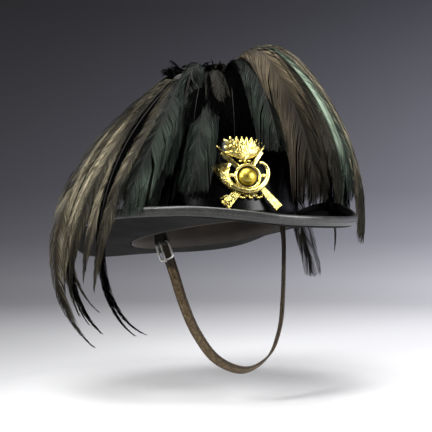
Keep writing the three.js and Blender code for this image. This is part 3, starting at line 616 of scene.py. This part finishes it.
def addHalf(store, feather, side, width, look, rng):
    length = feather["length"]
    base = np.arange(length * half["from"], length * half["to"], half["spacing"])
    count = len(base)
    part = base / length
    # neighbouring clumps hold together in groups, which part from each other
    groups = np.cumsum(rng.random(count) < half["spacing"] / look["groupLength"])
    groupTurn = rng.normal(0, half["parting"], groups[-1] + 1)[groups]
    groupLong = rng.normal(1, half["ragged"], groups[-1] + 1)[groups]
    angle = look["lean"] + (half["tipAngle"] - look["lean"]) * part
    angle = np.radians(angle + groupTurn + rng.normal(0, half["strayAngle"], count))
    widest = half["swell"] / (half["swell"] + look["taper"])
    outline = (part / widest) ** half["swell"] * ((1 - part) / (1 - widest)) ** look["taper"]
    reach = width / 2 * outline * look["sideShare"][0 if side < 0 else 1]
    reach = reach * groupLong * rng.normal(1, half["strayReach"], count)
    pointed = half["shortest"] + (length - base) * np.tan(angle)  # the last barbs draw to a point
    reach = np.clip(reach, half["shortest"], pointed)[:, None]
    lift = rng.normal(0, half["lift"], count)[:, None]
    twisted = rng.normal(half["shingle"], half["strayShingle"], count)[:, None]
    fold = math.radians(look["fold"])
    out = reach * barbOut
    drop = out * math.sin(fold) + look["camber"] * out * out / width
    edges = []
    for edge in (-0.5, 0.5):
        start = base[:, None] + edge * half["spacing"] * barbWidths
        place = start + reach / np.tan(angle)[:, None] * barbAhead
        past = np.clip(place - length, 0, None)
        raised = lift * barbStations + edge * twisted * np.sin(np.pi * barbStations)
        spot = along(feather, "points", place) + past[..., None] * feather["ahead"][-1]
        spot = spot + side * (out * math.cos(fold))[..., None] * along(feather, "sideways", place)
        spot = spot + (raised - drop)[..., None] * along(feather, "facing", place)
        edges.append(np.concatenate([spot, np.stack([start, out], axis=-1)], axis=-1))  # place and UV
    # 3 pairs of corners and a shared point at the end of each clump
    pairs = np.stack(edges, axis=2)[:, :3].reshape(count, 6, 5)
    store["corners"].append(np.concatenate([pairs, edges[0][:, 3:]], axis=1).reshape(-1, 5))
    first = store["count"] + clumpCorners * np.arange(count)[:, None, None]
    store["quads"].append((first + clumpQuads[:, ::-side]).reshape(-1, 4))
    store["tips"].append((first + clumpTip[:, ::-side]).reshape(-1, 3))
    store["count"] += clumpCorners * count
    # painted light and shade in the tone: brighter where the feather bends to the light, one half lighter and
    # the other darker
    paintedLit = np.exp(-((part - look["paintedLightAt"]) / paintedLightAndPatches["spread"]) ** 2)
    toneAndPaintedLight = look["tone"] * (paintedLightAndPatches["shade"] + paintedLightAndPatches["paintedLightGain"] * paintedLit) + side * look["paintedHalfLight"] * paintedLit
    patch = rng.normal(0, paintedLightAndPatches["patch"], groups[-1] + 1)[groups]
    toneAndPaintedLight = toneAndPaintedLight + patch + rng.normal(0, paintedLightAndPatches["patch"], count)
    store["tone"].append((toneAndPaintedLight[:, None] + barbTonesGrooveShade).ravel())


def addShaft(store, feather, radius):
    rings, sides = shaft["rings"], shaft["sides"]
    place = np.linspace(0, feather["length"] * shaft["to"], rings)
    thick = radius * (1 - shaft["thinning"] * place / feather["length"])
    turn = (2 * np.pi * np.arange(sides) / sides)[None, :, None]
    circle = np.cos(turn) * along(feather, "sideways", place)[:, None]
    circle = circle + np.sin(turn) * along(feather, "facing", place)[:, None]
    tube = along(feather, "points", place)[:, None] + thick[:, None, None] * circle
    index = store["tubeCount"] + np.arange(rings * sides).reshape(rings, sides)
    after = np.roll(index, -1, axis=1)
    quads = np.stack([index[:-1], after[:-1], after[1:], index[1:]], axis=-1)
    store["tubeQuads"].append(quads.reshape(-1, 4))
    store["tubes"].append(tube.reshape(-1, 3))
    store["tubeCount"] += rings * sides


def addFeather(store, line, width, look, rng):
    # a vane on both sides of a tapered shaft
    points, across = line
    ahead = np.gradient(points, axis=0)
    ahead /= np.linalg.norm(ahead, axis=1)[:, None]
    outward = np.cross(across, ahead)
    share = np.linspace(0, 1, len(points))
    roll = np.radians(look["roll"] + look["twist"] * share)[:, None]
    length = np.linalg.norm(np.diff(points, axis=0), axis=1).sum()
    feather = {"points": points, "ahead": ahead, "length": length, "arcs": share * length,
               "sideways": across * np.cos(roll) + outward * np.sin(roll),
               "facing": outward * np.cos(roll) - across * np.sin(roll)}
    for side in (-1, 1):
        addHalf(store, feather, side, width, look, rng)
    addShaft(store, feather, look["shaft"])


def fillMesh(name, verts, faces, material):
    mesh = bpy.data.meshes.new(name)
    mesh.from_pydata((verts * mm).tolist(), [], faces)
    mesh.materials.append(material)
    mesh.shade_smooth()
    placePiece(name, mesh, ["plume"])
    return mesh


def placeFeathers(name, store, material):
    corners = np.concatenate(store["corners"])
    quads = np.concatenate(store["quads"])
    tips = np.concatenate(store["tips"])
    mesh = fillMesh(name, corners[:, :3], quads.tolist() + tips.tolist(), material)
    uv = corners[np.concatenate([quads.ravel(), tips.ravel()]), 3:] * mm
    mesh.uv_layers.new(name="barbs").data.foreach_set("uv", uv.astype(np.float32).ravel())
    colour = np.zeros((len(corners), 4), np.float32)
    # the tone, with its painted light and shade, goes to every corner
    colour[:, 0] = np.concatenate(store["tone"])
    colour[:, 3] = 1
    mesh.attributes.new("featherToneAndPaintedLight", "FLOAT_COLOR", "POINT").data.foreach_set("color", colour.ravel())
    tubeQuads = np.concatenate(store["tubeQuads"]).tolist()
    fillMesh(name + "Shafts", np.concatenate(store["tubes"]), tubeQuads, quill)
    print(name, 2 * len(quads) + len(tips), "vane triangles")


# how single feathers differ: those on top are turned and folded less than those below, and those below get
# painted shade; one half of a vane gets painted light, the other painted shade
unlike = {"turnTop": 6, "turnBelow": 16, "foldTop": (3, 8), "foldBelow": (3, 14), "outer": (0.6, 0.85),
          "inner": 1.05, "camber": (0.05, 0.3), "group": (14, 40), "paintedShadeBelow": (0, 0.6), "paintedHalfLight": 0.14,
          "shaft": (0.8, 1.1)}


def featherLook(rng, lock, onTop):
    turn = unlike["turnTop"] if onTop else unlike["turnBelow"]
    fold = unlike["foldTop"] if onTop else unlike["foldBelow"]
    # the half of the vane on the outside of the bend is the narrower
    outerHalf, innerHalf = rng.uniform(*unlike["outer"]), unlike["inner"]
    kind = plumage[lock["colour"]]
    return {"roll": lock["roll"] + rng.uniform(-turn, turn), "twist": rng.uniform(-turn, turn),
            "fold": rng.uniform(*fold), "camber": rng.uniform(*unlike["camber"]),
            "groupLength": rng.uniform(*unlike["group"]),
            "sideShare": (innerHalf, outerHalf) if lock["roll"] > 0 else (outerHalf, innerHalf),
            # the feathers below get painted shade: their tone is dimmed
            "tone": lock["tone"] if onTop else lock["tone"] * rng.uniform(*unlike["paintedShadeBelow"]),
            # painted light on one half of the vane, painted shade on the other
            "paintedHalfLight": rng.uniform(-unlike["paintedHalfLight"], unlike["paintedHalfLight"]),
            "shaft": shaft["radius"] * rng.uniform(*unlike["shaft"]),
            "taper": lock["taper"], "lean": kind["lean"], "paintedLightAt": kind["paintedLightAt"]}


def topFeather(lock, index, rng):
    own = dict(lock)
    if lock["tops"] == 2:
        own["bearing"] += twin["apart"] * (2 * index - 1)
        own["length"] *= rng.uniform(*twin["long"]) if index else 1
        own["width"] *= twin["width"]
        own["tone"] *= rng.uniform(*twin["tones"][index])
    return own


def mateFeather(lock, rng):
    # mates lie closer to the hat than the feathers on top
    own = dict(lock)
    bunch = bunches[lock["bunch"]]
    lengths = mate["longLock"] if lock["length"] > mate["overRim"] else mate["shortLock"]
    own["bearing"] += rng.uniform(-mate["bearing"], mate["bearing"])
    own["drift"] += rng.uniform(-mate["drift"], mate["drift"])
    own["length"] *= rng.uniform(*lengths)
    own["shoulder"] -= rng.uniform(0, mate["lower"])
    own["arch"] *= rng.uniform(*mate["arch"])
    own["width"] *= rng.uniform(*mate["width"])
    strew, low = mate["strew"], -bunch["settle"]
    own["shift"] = rng.uniform((-strew, -strew, low), (strew, strew, low + mate["heights"]))
    # the mates not in the lock's colour are near-black: painted shade under the feathers on top
    own["colour"] = rng.choice([lock["colour"], "black"], p=(bunch["coloured"], 1 - bunch["coloured"]))
    return own


# short broken ends that stand up along the top of the bunches
tuft = {"count": 44, "start": (-33, 17, 156), "end": (16, -9, 158), "strew": np.array((4, 4, 1.6)),
        "drift": 30, "long": (14, 28), "quill": (60, 88), "shoulder": (10, 60), "tip": (-40, 20),
        "roll": 60, "width": (5.4, 11.7)}


def addTuft(store, rng):
    start, end = np.array(tuft["start"]), np.array(tuft["end"])
    for place in rng.uniform(0, 1, tuft["count"]):
        spot = start + (end - start) * place + rng.normal(0, 1, 3) * tuft["strew"]
        stub = {"bunch": "front", "shift": spot - np.array(bunches["front"]["root"]), "arch": 22,
                "taper": 0.6, "colour": "black", "tone": 0.3, "bearing": rng.uniform(-180, 180),
                "drift": rng.uniform(-tuft["drift"], tuft["drift"])}
        for name, key in (("length", "long"), ("quill", "quill"), ("shoulder", "shoulder"), ("tip", "tip")):
            stub[name] = rng.uniform(*tuft[key])
        stub["roll"] = rng.uniform(-tuft["roll"], tuft["roll"])
        width = rng.uniform(*tuft["width"])
        addFeather(store, featherLine(stub), width, featherLook(rng, stub, False), rng)


def makePlume():
    rng = np.random.default_rng(plume["seed"])
    stores = {colour: newStore() for colour in plumage}
    for row in lockRows:
        lock = dict(zip(lockColumns, row))
        for index in range(lock["tops"] + lock["mates"]):
            onTop = index < lock["tops"]
            own = topFeather(lock, index, rng) if onTop else mateFeather(lock, rng)
            rise = plume["topRise"] if onTop else bunches[lock["bunch"]]["rise"]
            line = liftClear(own, lock["shoulder"] + rise)
            look = featherLook(rng, own, onTop)
            if line is not None:
                addFeather(stores[own["colour"]], line, own["width"], look, rng)
    addTuft(stores["black"], rng)
    for colour, kind in plumage.items():
        placeFeathers(colour + "Feathers", stores[colour], kind["vane"])


# bound ends of the bunches: centre and half widths
headRows = [[-28, 6, 155, 15, 12, 12], [-6, -2, 155, 14, 12, 11], [14, -8, 153, 17, 14, 15],
            [2, 10, 149, 17, 13, 11], [1, 0, 144, 25, 19, 11]]


def makeHead():
    # the bunches' quills, wound round with thread
    bm = bmesh.new()
    for x, y, z, wide, deep, high in headRows:
        size = Matrix.Diagonal((wide * mm, deep * mm, high * mm, 1))
        bmesh.ops.create_uvsphere(bm, u_segments=28, v_segments=16, radius=1,
                                  matrix=Matrix.Translation(Vector((x, y, z)) * mm) @ size)
    joinPiece("boundHead", bm, [wrapping], ["plume"], 80)


makeHead()
makePlume()
print("plume made")

# badge: laid out flat from the ball's centre, then set as a stiff, slightly bowed plate against the crown
badge = {"turn": math.radians(263), "height": 39.5, "size": 1.02, "bow": 140, "facing": math.radians(9),
         "upright": math.radians(4), "roll": math.radians(-5), "standOff": 1.87, "ball": (9, 9, 6),
         "ring": 11.5, "ringWire": 1.5, "ringTurns": 56}
flameLayers = [
    {"tongues": 21, "spread": 124, "long": 22, "side": 18.5, "wide": 3.4, "high": 1.6, "low": 0, "lift": 1.6},
    {"tongues": 15, "spread": 108, "long": 16.5, "side": 14, "wide": 3, "high": 1.6, "low": 0.9, "lift": 1.4},
    {"tongues": 9, "spread": 90, "long": 10.5, "side": 9, "wide": 2.4, "high": 1.5, "low": 1.8, "lift": 1},
]
flame = {"root": (-1.6, 16), "curls": (-0.3, 0.35), "uneven": 0.4}
# two rifles as bars in the order muzzle, stock, butt, then the horn's braces and mouthpiece:
# start and end, half widths there, height of the face, 1 if chased
plateBars = [
    [(-27.5, 30.5), (-8, 10), 0.8, 0.8, 3.4, 0],
    [(-23.5, 23.6), (-7, 7.5), 1.7, 2.1, 2.4, 0],
    [(13, -12), (28.5, -30), 3, 4.6, 2.4, 1],
    [(18.5, 31), (6, 13.5), 0.8, 0.8, 3.4, 0],
    [(15.5, 24.5), (4, 9), 1.7, 2.1, 2.4, 0],
    [(-8.5, -13), (-23.5, -27.5), 3, 5.2, 2.4, 1],
    [(11, 0.5), (19, 1.5), 1.6, 1.4, 2, 1],
    [(-18, 2), (-11, 1), 1.8, 1.6, 2, 1],
    [(-20, -18), (-27.5, -20.5), 1.4, 0.5, 2, 0],
]
rod = {"columns": 8, "rows": 2, "thick": 2, "soften": 0.4}
# the horn's middle line from bell to mouthpiece: across, up, radius
hornRows = [[-24.6, 10.4, 10.2], [-24, 7, 8], [-23, 3, 6], [-20.5, -4, 4.4], [-16, -9, 3.7],
            [-10.5, -12.2, 3.4], [-5, -14.3, 3.2], [0, -15, 3], [6, -14, 2.8], [11.8, -10.6, 2.6],
            [16.4, -6, 2.4], [18.8, -1.5, 2.3], [20.2, 3, 2.1], [20, 7, 2], [18.6, 11, 1.8],
            [15.5, 13.4, 1.7], [12, 13.6, 1.9]]
horn = {"depth": 2.6, "sides": 16, "mouthTip": 3.3, "leanRows": 3, "wall": 0.9, "hollow": 5, "narrow": 0.6,
        "dip": -0.3, "chased": 4}
# the ball's neck and the knots beside it: across, up, half widths and height
neckRows = [[-1.8, 14.4, (1.9, 1.9, 4.4)], [-6, 15.2, (2.2, 1.2, 2.6)], [2.4, 15.2, (2.2, 1.2, 2.6)]]
cordKnots = {"count": 11, "start": -10, "end": 14, "height": -19.2, "wave": 1.3, "wavePace": 1.9,
             "size": (2.2, 1.6, 2.2)}


def crownFace(across, up):
    angle = badge["turn"] + across / crown["side"]
    radius = crownRadius * (1 - (up / crown["height"]) ** crown["roundness"]) ** (1 / crown["roundness"])
    return toOval(Vector((radius * math.cos(angle), radius * math.sin(angle), up)) * mm)


def badgeSeat():
    # middle of the plate on the crown, and its ways across, up and out
    up = badge["height"]
    seat = crownFace(0, up)
    across = (crownFace(0.5, up) - seat).normalized()
    rise = (crownFace(0, up + 0.5) - seat).normalized()
    across = Matrix.Rotation(-badge["facing"], 3, rise) @ across
    rise = Matrix.Rotation(badge["upright"], 3, across) @ rise
    normal = across.cross(rise).normalized()
    roll = Matrix.Rotation(badge["roll"], 3, normal)
    return seat, roll @ across, roll @ rise, normal


def toPlate(co, seat, across, rise, normal):
    turn = co.x / mm * badge["size"] / badge["bow"]
    reach = badge["bow"] * mm + co.z
    out = reach * math.cos(turn) + (badge["standOff"] - badge["bow"]) * mm
    return hatTilt @ (seat + across * reach * math.sin(turn) + rise * co.y * badge["size"] + normal * out)


def addDome(bm, across, up, size, sides=20, rings=12, finish=0):
    # upper half of a ball, flat below
    wide, deep, high = size
    made = bmesh.ops.create_uvsphere(bm, u_segments=sides, v_segments=rings, radius=1)["verts"]
    for vert in made:
        for face in vert.link_faces:
            face.material_index = finish
        vert.co = Vector((across + vert.co.x * wide, up + vert.co.y * deep, max(0, vert.co.z) * high)) * mm


def addTongue(bm, layer, share, curl):
    # a leaf with a round back that widens to its end, which curls to one side and lifts
    tilt = math.radians(layer["spread"] * (share - 0.5))
    reach = min(layer["long"] / math.cos(tilt), layer["side"] / max(0.01, abs(math.sin(tilt))))
    reach *= 1 + flame["uneven"] * curl * abs(curl)
    made = bmesh.ops.create_uvsphere(bm, u_segments=12, v_segments=10, radius=1)["verts"]
    for vert in made:
        part = (vert.co.z + 1) / 2
        across = vert.co.x * layer["wide"] / 2 * (0.5 + part) + curl * part ** 3 * layer["wide"]
        ahead = part * reach
        vert.co = Vector((flame["root"][0] + ahead * math.sin(tilt) + across * math.cos(tilt),
                          flame["root"][1] + ahead * math.cos(tilt) - across * math.sin(tilt),
                          layer["low"] + layer["lift"] * part ** 2 + max(0, vert.co.y) * layer["high"])) * mm


sharpEdge = 1  # radians between two faces


def addSlab(bm, columns, rows, place, thick, soften):
    # a sheet of faces put in place, thickened away from its face and softened along its edges
    made = bmesh.ops.create_grid(bm, x_segments=columns, y_segments=rows, size=1)["verts"]
    for vert in made:
        vert.co = place(vert.co.x, vert.co.y)
    faces = list({face for vert in made for face in vert.link_faces})
    bmesh.ops.recalc_face_normals(bm, faces=faces)
    bmesh.ops.solidify(bm, geom=faces, thickness=thick * mm)
    linked = {vert for face in faces for vert in face.verts}
    linked |= {other for vert in linked for edge in vert.link_edges for other in edge.verts}
    edges = {edge for vert in linked for edge in vert.link_edges}
    bm.normal_update()
    sharp = [edge for edge in edges if edge.is_manifold and edge.calc_face_angle() > sharpEdge]
    bmesh.ops.bevel(bm, geom=sharp, offset=soften * mm, segments=2, profile=0.5, affect="EDGES", material=-1)


def addBar(bm, start, end, halfStart, halfEnd, high, finish):
    start, end = Vector(start), Vector(end)
    before = set(bm.faces)
    across = (end - start).orthogonal().normalized()

    def place(x, y):
        share = (x + 1) / 2
        spot = start.lerp(end, share) + across * y * (halfStart + (halfEnd - halfStart) * share)
        return Vector((spot.x, spot.y, high)) * mm

    addSlab(bm, rod["columns"], rod["rows"], place, min(high, rod["thick"]), rod["soften"])
    for face in set(bm.faces) - before:
        face.material_index = finish


def openBell(bm, rim, way):
    # hollows the bell from its mouth
    mouth = bmesh.ops.contextual_create(bm, geom=rim)["faces"]
    bmesh.ops.inset_region(bm, faces=mouth, thickness=horn["wall"] * mm, use_boundary=True)
    deeper = Vector((way.x, way.y, horn["dip"])) * horn["hollow"] * mm
    bmesh.ops.translate(bm, verts=mouth[0].verts, vec=deeper)
    middle = mouth[0].calc_center_median()
    bmesh.ops.scale(bm, verts=mouth[0].verts, vec=[horn["narrow"]] * 3, space=Matrix.Translation(-middle))


def addHorn(bm):
    before = None
    last = len(hornRows) - 1
    for index, (across, up, radius) in enumerate(hornRows):
        ahead, behind = hornRows[min(index + 1, last)], hornRows[max(index - 1, 0)]
        way = Vector((ahead[0] - behind[0], ahead[1] - behind[1])).normalized()
        depth = min(horn["depth"], radius)
        loop = bmesh.ops.create_circle(bm, segments=horn["sides"], radius=1)["verts"]
        # the bell's mouth is turned to the front
        lean = horn["mouthTip"] * max(0, 1 - index / horn["leanRows"])
        for vert in loop:
            side, out = vert.co.x * radius, vert.co.y
            vert.co = Vector((across - way.y * side + way.x * out * lean,
                              up + way.x * side + way.y * out * lean, depth * (1 + out))) * mm
        edges = list({edge for vert in loop for edge in vert.link_edges})
        if before:
            for face in bmesh.ops.bridge_loops(bm, edges=before + edges)["faces"]:
                face.material_index = 1 if index <= horn["chased"] else 0
        else:
            openBell(bm, edges, way)
        before = edges
    bmesh.ops.contextual_create(bm, geom=before)


def makeBadge():
    bm = bmesh.new()
    addHorn(bm)
    for bar in plateBars:
        addBar(bm, *bar)
    for layer in flameLayers:
        for index in range(layer["tongues"]):
            addTongue(bm, layer, index / (layer["tongues"] - 1), flame["curls"][index % 2])
    addDome(bm, 0, 0, badge["ball"], sides=40, rings=28, finish=2)
    for row in neckRows:
        addDome(bm, *row)
    for index in range(cordKnots["count"]):
        share = index / (cordKnots["count"] - 1)
        across = cordKnots["start"] + (cordKnots["end"] - cordKnots["start"]) * share
        up = cordKnots["height"] + cordKnots["wave"] * math.cos(index * cordKnots["wavePace"])
        addDome(bm, across, up, cordKnots["size"], sides=12, rings=8)
    ringSection = wireSection(badge["ring"], badge["ringWire"], badge["ringWire"])
    wireRing = spinSection(ringSection, badge["ringTurns"], True)
    ringMesh = bpy.data.meshes.new("wireRing")
    wireRing.to_mesh(ringMesh)
    wireRing.free()
    bm.from_mesh(ringMesh)
    bpy.data.meshes.remove(ringMesh)
    seat = badgeSeat()
    for vert in bm.verts:
        vert.co = toPlate(vert.co, *seat)
    bmesh.ops.recalc_face_normals(bm, faces=bm.faces)
    joinPiece("giltBadge", bm, [gilt, chased, burnished], ["badge"], 35)


makeBadge()
print("badge made")

# chin strap, tab and buckle, laid out in the strap's plane
strap = {"width": 12, "leather": 2, "steps": 110, "rows": 7, "soften": 0.5, "holes": [6, 10, 14, 18, 22],
         "holeDepth": 1.3, "holeEdge": 0.15}
strapRows = [[-69.1, -22.1], [-66.4, -35.8], [-63.5, -50], [-57.5, -82], [-48, -111.6], [-30, -138.7],
             [0, -151.2], [30, -138.7], [48, -111.6], [57.5, -82], [65, -50], [71, -20], [73.6, 8]]
buckle = {"bars": 18, "sides": 17.5, "squareness": 6, "wire": 2, "slot": 3.4, "foldEase": 0.5, "turns": 96}
prong = {"wire": 1.6, "clear": 0.3, "overhang": 2.5, "hook": math.radians(230), "hookSteps": 10, "steps": 40,
         "sides": 10}
tab = {"top": Vector((-73, 10)), "comeBack": 9, "steps": 60, "foldSteps": 10}
cheeks = {"lean": math.tan(math.radians(17)), "middle": Vector((0, -35)), "start": 8, "full": -15}
buckleCentre = Vector((-70.3, -27.5))
buckleAlong = Vector((0.2, -0.98)).normalized()
buckleOut = Vector((buckleAlong.y, -buckleAlong.x))
topBar = buckleCentre - buckleAlong * buckle["bars"] / 2


def nearBar(radius, angle):
    return topBar + (buckleOut * math.cos(angle) + buckleAlong * math.sin(angle)) * radius


def smoothLine(points, count, fineSteps=24):
    # even steps along a smooth line through the points
    fine = []
    last = len(points) - 1
    for index in range(last):
        near = [points[min(max(index + k, 0), last)] for k in (-1, 0, 1, 2)]
        fine += [curveThrough(*near, step / fineSteps) for step in range(fineSteps)]
    fine = np.array([list(p) for p in fine + [points[-1]]])
    arcs = np.concatenate([[0], np.cumsum(np.linalg.norm(np.diff(fine, axis=0), axis=1))])
    even = np.linspace(0, arcs[-1], count)
    return [Vector((np.interp(s, arcs, fine[:, 0]), np.interp(s, arcs, fine[:, 1]))) for s in even]


def outFrom(line, index):
    # the way out of the loop at a point of the line
    ahead = (line[min(index + 1, len(line) - 1)] - line[max(index - 1, 0)]).normalized()
    return Vector((ahead.y, -ahead.x))


def addStrip(bm, line):
    # leather of the strap's width along a line
    def place(x, y):
        index = round((x + 1) / 2 * (len(line) - 1))
        spot = line[index] + outFrom(line, index) * strap["leather"] / 2
        return Vector((spot.x, spot.y, y * strap["width"] / 2)) * mm

    addSlab(bm, len(line) - 1, strap["rows"], place, strap["leather"], strap["soften"])


def onCheeks(co):
    # below the hat the front edge is drawn in towards the face
    share = min(1, max(0, (cheeks["start"] - co.y / mm) / (cheeks["start"] - cheeks["full"])))
    drawnIn = co.z * cheeks["lean"] * share * share * (3 - 2 * share)
    out = co.xy - cheeks["middle"] * mm
    out = out * (1 - drawnIn / out.length) + cheeks["middle"] * mm
    return Vector((out.x, out.y, co.z))


def seatPiece(name, bm, material, node):
    for vert in bm.verts:
        vert.co = onCheeks(vert.co)
    bmesh.ops.recalc_face_normals(bm, faces=bm.faces)
    bmesh.ops.transform(bm, matrix=strapSeat, verts=bm.verts)
    joinPiece(name, bm, [material], [node], 50)


def makeStrap():
    line = smoothLine([Vector(row) for row in strapRows], strap["steps"] + 1)
    bm = bmesh.new()
    addStrip(bm, line)
    # punched holes down the middle of the outer face
    punched = []
    for step in strap["holes"]:
        spot = (line[step] + line[step + 1]) / 2
        ahead = (line[step + 1] - line[step]).normalized()
        outer = Vector((spot.x + ahead.y, spot.y - ahead.x, 0)) * mm
        punched.append(min(bm.faces, key=lambda face: (face.calc_center_median() - outer).length))
    bmesh.ops.inset_individual(bm, faces=punched, thickness=strap["holeEdge"] * mm,
                               depth=-strap["holeDepth"] * mm)
    seatPiece("strapLeather", bm, strapLeather, "chin_strap")


def makeTab():
    fold = buckle["wire"] / 2 + buckle["foldEase"] + strap["leather"] / 2
    points = [tab["top"].lerp(nearBar(fold, 0), share) for share in (0, 0.35, 0.7)]
    points += [nearBar(fold, math.pi * step / tab["foldSteps"]) for step in range(tab["foldSteps"] + 1)]
    points += [nearBar(fold, math.pi) - buckleAlong * tab["comeBack"] * share for share in (0.5, 1)]
    bm = bmesh.new()
    addStrip(bm, smoothLine(points, tab["steps"] + 1))
    # a slot for the prong where the tab is folded
    slotted = []
    for face in bm.faces:
        middle = face.calc_center_median()
        if abs(middle.z) < buckle["slot"] / 2 * mm and (Vector(middle.xy) / mm - topBar).length < 2 * fold:
            slotted.append(face)
    bmesh.ops.delete(bm, geom=slotted, context="FACES")
    bmesh.ops.holes_fill(bm, edges=[edge for edge in bm.edges if edge.is_boundary], sides=0)
    seatPiece("tabLeather", bm, tabLeather, "strap_tab")


def makeBuckle():
    # a round ring of wire, drawn out to a square with round corners
    unit = 10
    bm = spinSection(wireSection(unit, buckle["wire"] / 2), buckle["turns"], True)
    power = buckle["squareness"]
    for vert in bm.verts:
        angle = math.atan2(vert.co.y, vert.co.x)
        fromWire = math.hypot(vert.co.x, vert.co.y) / mm - unit
        square = ((abs(math.cos(angle)) / (buckle["bars"] / 2)) ** power
                  + (abs(math.sin(angle)) / (buckle["sides"] / 2)) ** power)
        radius = square ** (-1 / power) + fromWire
        spot = buckleCentre + buckleAlong * radius * math.cos(angle) + buckleOut * vert.co.z / mm
        vert.co = Vector((spot.x, spot.y, radius * math.sin(angle))) * mm
    seatPiece("buckleFrame", bm, wire, "buckle_frame")


def makeProng():
    radius = buckle["wire"] / 2 + prong["clear"] + prong["wire"] / 2
    bends = [1 - step / prong["hookSteps"] for step in range(prong["hookSteps"] + 1)]
    points = [nearBar(radius, -prong["hook"] * bend) for bend in bends]
    reach = buckle["bars"] + prong["overhang"]
    points += [nearBar(radius, 0) + buckleAlong * reach * share for share in (0.35, 0.7, 1)]
    line = smoothLine(points, prong["steps"] + 1)
    thick = prong["wire"] / 2
    profile = [(0, 0)] + [(thick, step) for step in range(prong["steps"] + 1)] + [(0, prong["steps"])]
    bm = spinSection(profile, prong["sides"], False)
    for vert in bm.verts:
        index = round(vert.co.z / mm)
        spot = line[index] + outFrom(line, index) * vert.co.x / mm
        vert.co = Vector((spot.x * mm, spot.y * mm, vert.co.y))
    seatPiece("buckleProng", bm, wire, "buckle_prong")


makeStrap()
makeTab()
makeBuckle()
makeProng()
print("strap and buckle made")

# camera: level, the front of the hat turned 29 degrees to the picture's right
view = {"turn": math.radians(29), "distance": 1008, "side": 4.5, "height": 15, "aim": 18.2, "lens": 80}
toCamera = Vector((-math.sin(view["turn"]), -math.cos(view["turn"]), 0))
pictureRight = Vector((math.cos(view["turn"]), -math.sin(view["turn"]), 0))


def aimFrom(placed, right, near, up, aim):
    placed.location = (toCamera * near + pictureRight * right) * mm
    placed.location.z = up * mm
    placed.rotation_euler = (aim - placed.location).to_track_quat("-Z", "Y").to_euler()


# stage: a pale floor that sweeps up all round into a wall, darkened up the wall by painted shade and lighter
# towards the right by painted light
stage = {"floor": -168, "flat": 1150, "sweep": 700, "sweepSteps": 12, "wall": 1900, "turns": 96, "run": 2.8,
         "paintedLightRight": 1.75, "middle": -0.12}
paperPaintedShadeTints = [(0, "#f2f2f2"), (0.09, "#bebebf"), (0.26, "#b3b3b6"), (0.41, "#a9a9ad"), (0.5, "#9c9ca2"),
              (0.6, "#74747c"), (0.7, "#5a5a62"), (0.95, "#2c2c32")]


# matt paper, in one smooth run of greys: painted shade from the floor up the wall, painted light to the right
def studioPaper():
    material, tree, place = startMaterial("studioPaper")
    parts = addNode(tree, "SeparateXYZ", {"Vector": place}).node.outputs
    level = addNode(tree, "CombineXYZ", {"X": parts["X"], "Y": parts["Y"]})
    out = addNode(tree, "VectorMath", {0: level}, output="Value", operation="LENGTH")
    # how far along floor and wall, from the middle
    far = addNode(tree, "Math", {0: out, 1: parts["Z"]}, operation="ADD")
    floor = stage["floor"] * mm
    share = addNode(tree, "MapRange", {"Value": far, "From Min": floor, "From Max": stage["run"] + floor})
    # painted shade: darker from the floor up the wall
    colour = addNode(tree, "ValToRGB", {"Fac": share}, paperPaintedShadeTints)
    # painted light: lighter towards the picture's right
    side = addNode(tree, "VectorMath", {0: place, 1: pictureRight}, output="Value", operation="DOT_PRODUCT")
    steps = addNode(tree, "Math", {0: side, 1: stage["paintedLightRight"], 2: stage["middle"]},
                    operation="MULTIPLY_ADD")
    paintedLightGain = addNode(tree, "Math", {0: 2, 1: steps}, operation="POWER")
    shaded = addNode(tree, "VectorMath", {0: colour, "Scale": paintedLightGain}, operation="SCALE")
    setInputs(tree, tree.nodes["Principled BSDF"], {"Roughness": 0.9, "Base Color": shaded})
    return material


def makeStage():
    section = [(stage["flat"] * share, stage["floor"]) for share in (0, 0.5, 1)]
    for step in range(1, stage["sweepSteps"] + 1):
        angle = math.pi / 2 * step / stage["sweepSteps"]
        section.append((stage["flat"] + stage["sweep"] * math.sin(angle),
                        stage["floor"] + stage["sweep"] * (1 - math.cos(angle))))
    section.append((stage["flat"] + stage["sweep"], stage["wall"]))
    bm = spinSection(section, stage["turns"], False)
    bmesh.ops.reverse_faces(bm, faces=bm.faces)
    mesh = bpy.data.meshes.new("stagePaper")
    bm.to_mesh(mesh)
    bm.free()
    mesh.materials.append(studioPaper())
    mesh.shade_smooth()
    addObject("stagePaper", mesh)


def makeCamera():
    lens = bpy.data.cameras.new("photoCamera")
    lens.lens = view["lens"]
    lens.sensor_width = 36
    camera = addObject("photoCamera", lens)
    aim = pictureRight * view["side"] * mm
    aim.z = view["aim"] * mm
    aimFrom(camera, view["side"], view["distance"], view["height"], aim)
    bpy.context.scene.camera = camera


lamps = [
    {"name": "topBox", "right": -150, "near": 250, "up": 1150, "size": 900, "power": 30},
    {"name": "leftBox", "right": -900, "near": 700, "up": 650, "size": 500, "power": 22},
    {"name": "rightBox", "right": 900, "near": 600, "up": 500, "size": 500, "power": 16},
]
air = {"tint": "#9a9aa2", "strength": 0.3}
lampAim = Vector((0, 0, 0.06))


def makeLamps():
    for lamp in lamps:
        light = bpy.data.lights.new(lamp["name"], "AREA")
        light.size = lamp["size"] * mm
        light.energy = lamp["power"]
        aimFrom(addObject(lamp["name"], light), lamp["right"], lamp["near"], lamp["up"], lampAim)
    world = bpy.data.worlds.new("studioAir")
    world.use_nodes = True
    backdrop = world.node_tree.nodes["Background"]
    setInputs(world.node_tree, backdrop, {"Color": linear(air["tint"]), "Strength": air["strength"]})
    bpy.context.scene.world = world
    bpy.context.scene.view_settings.view_transform = "Standard"  # clear whites, as in a studio print


makeStage()
makeCamera()
makeLamps()
print("stage made")
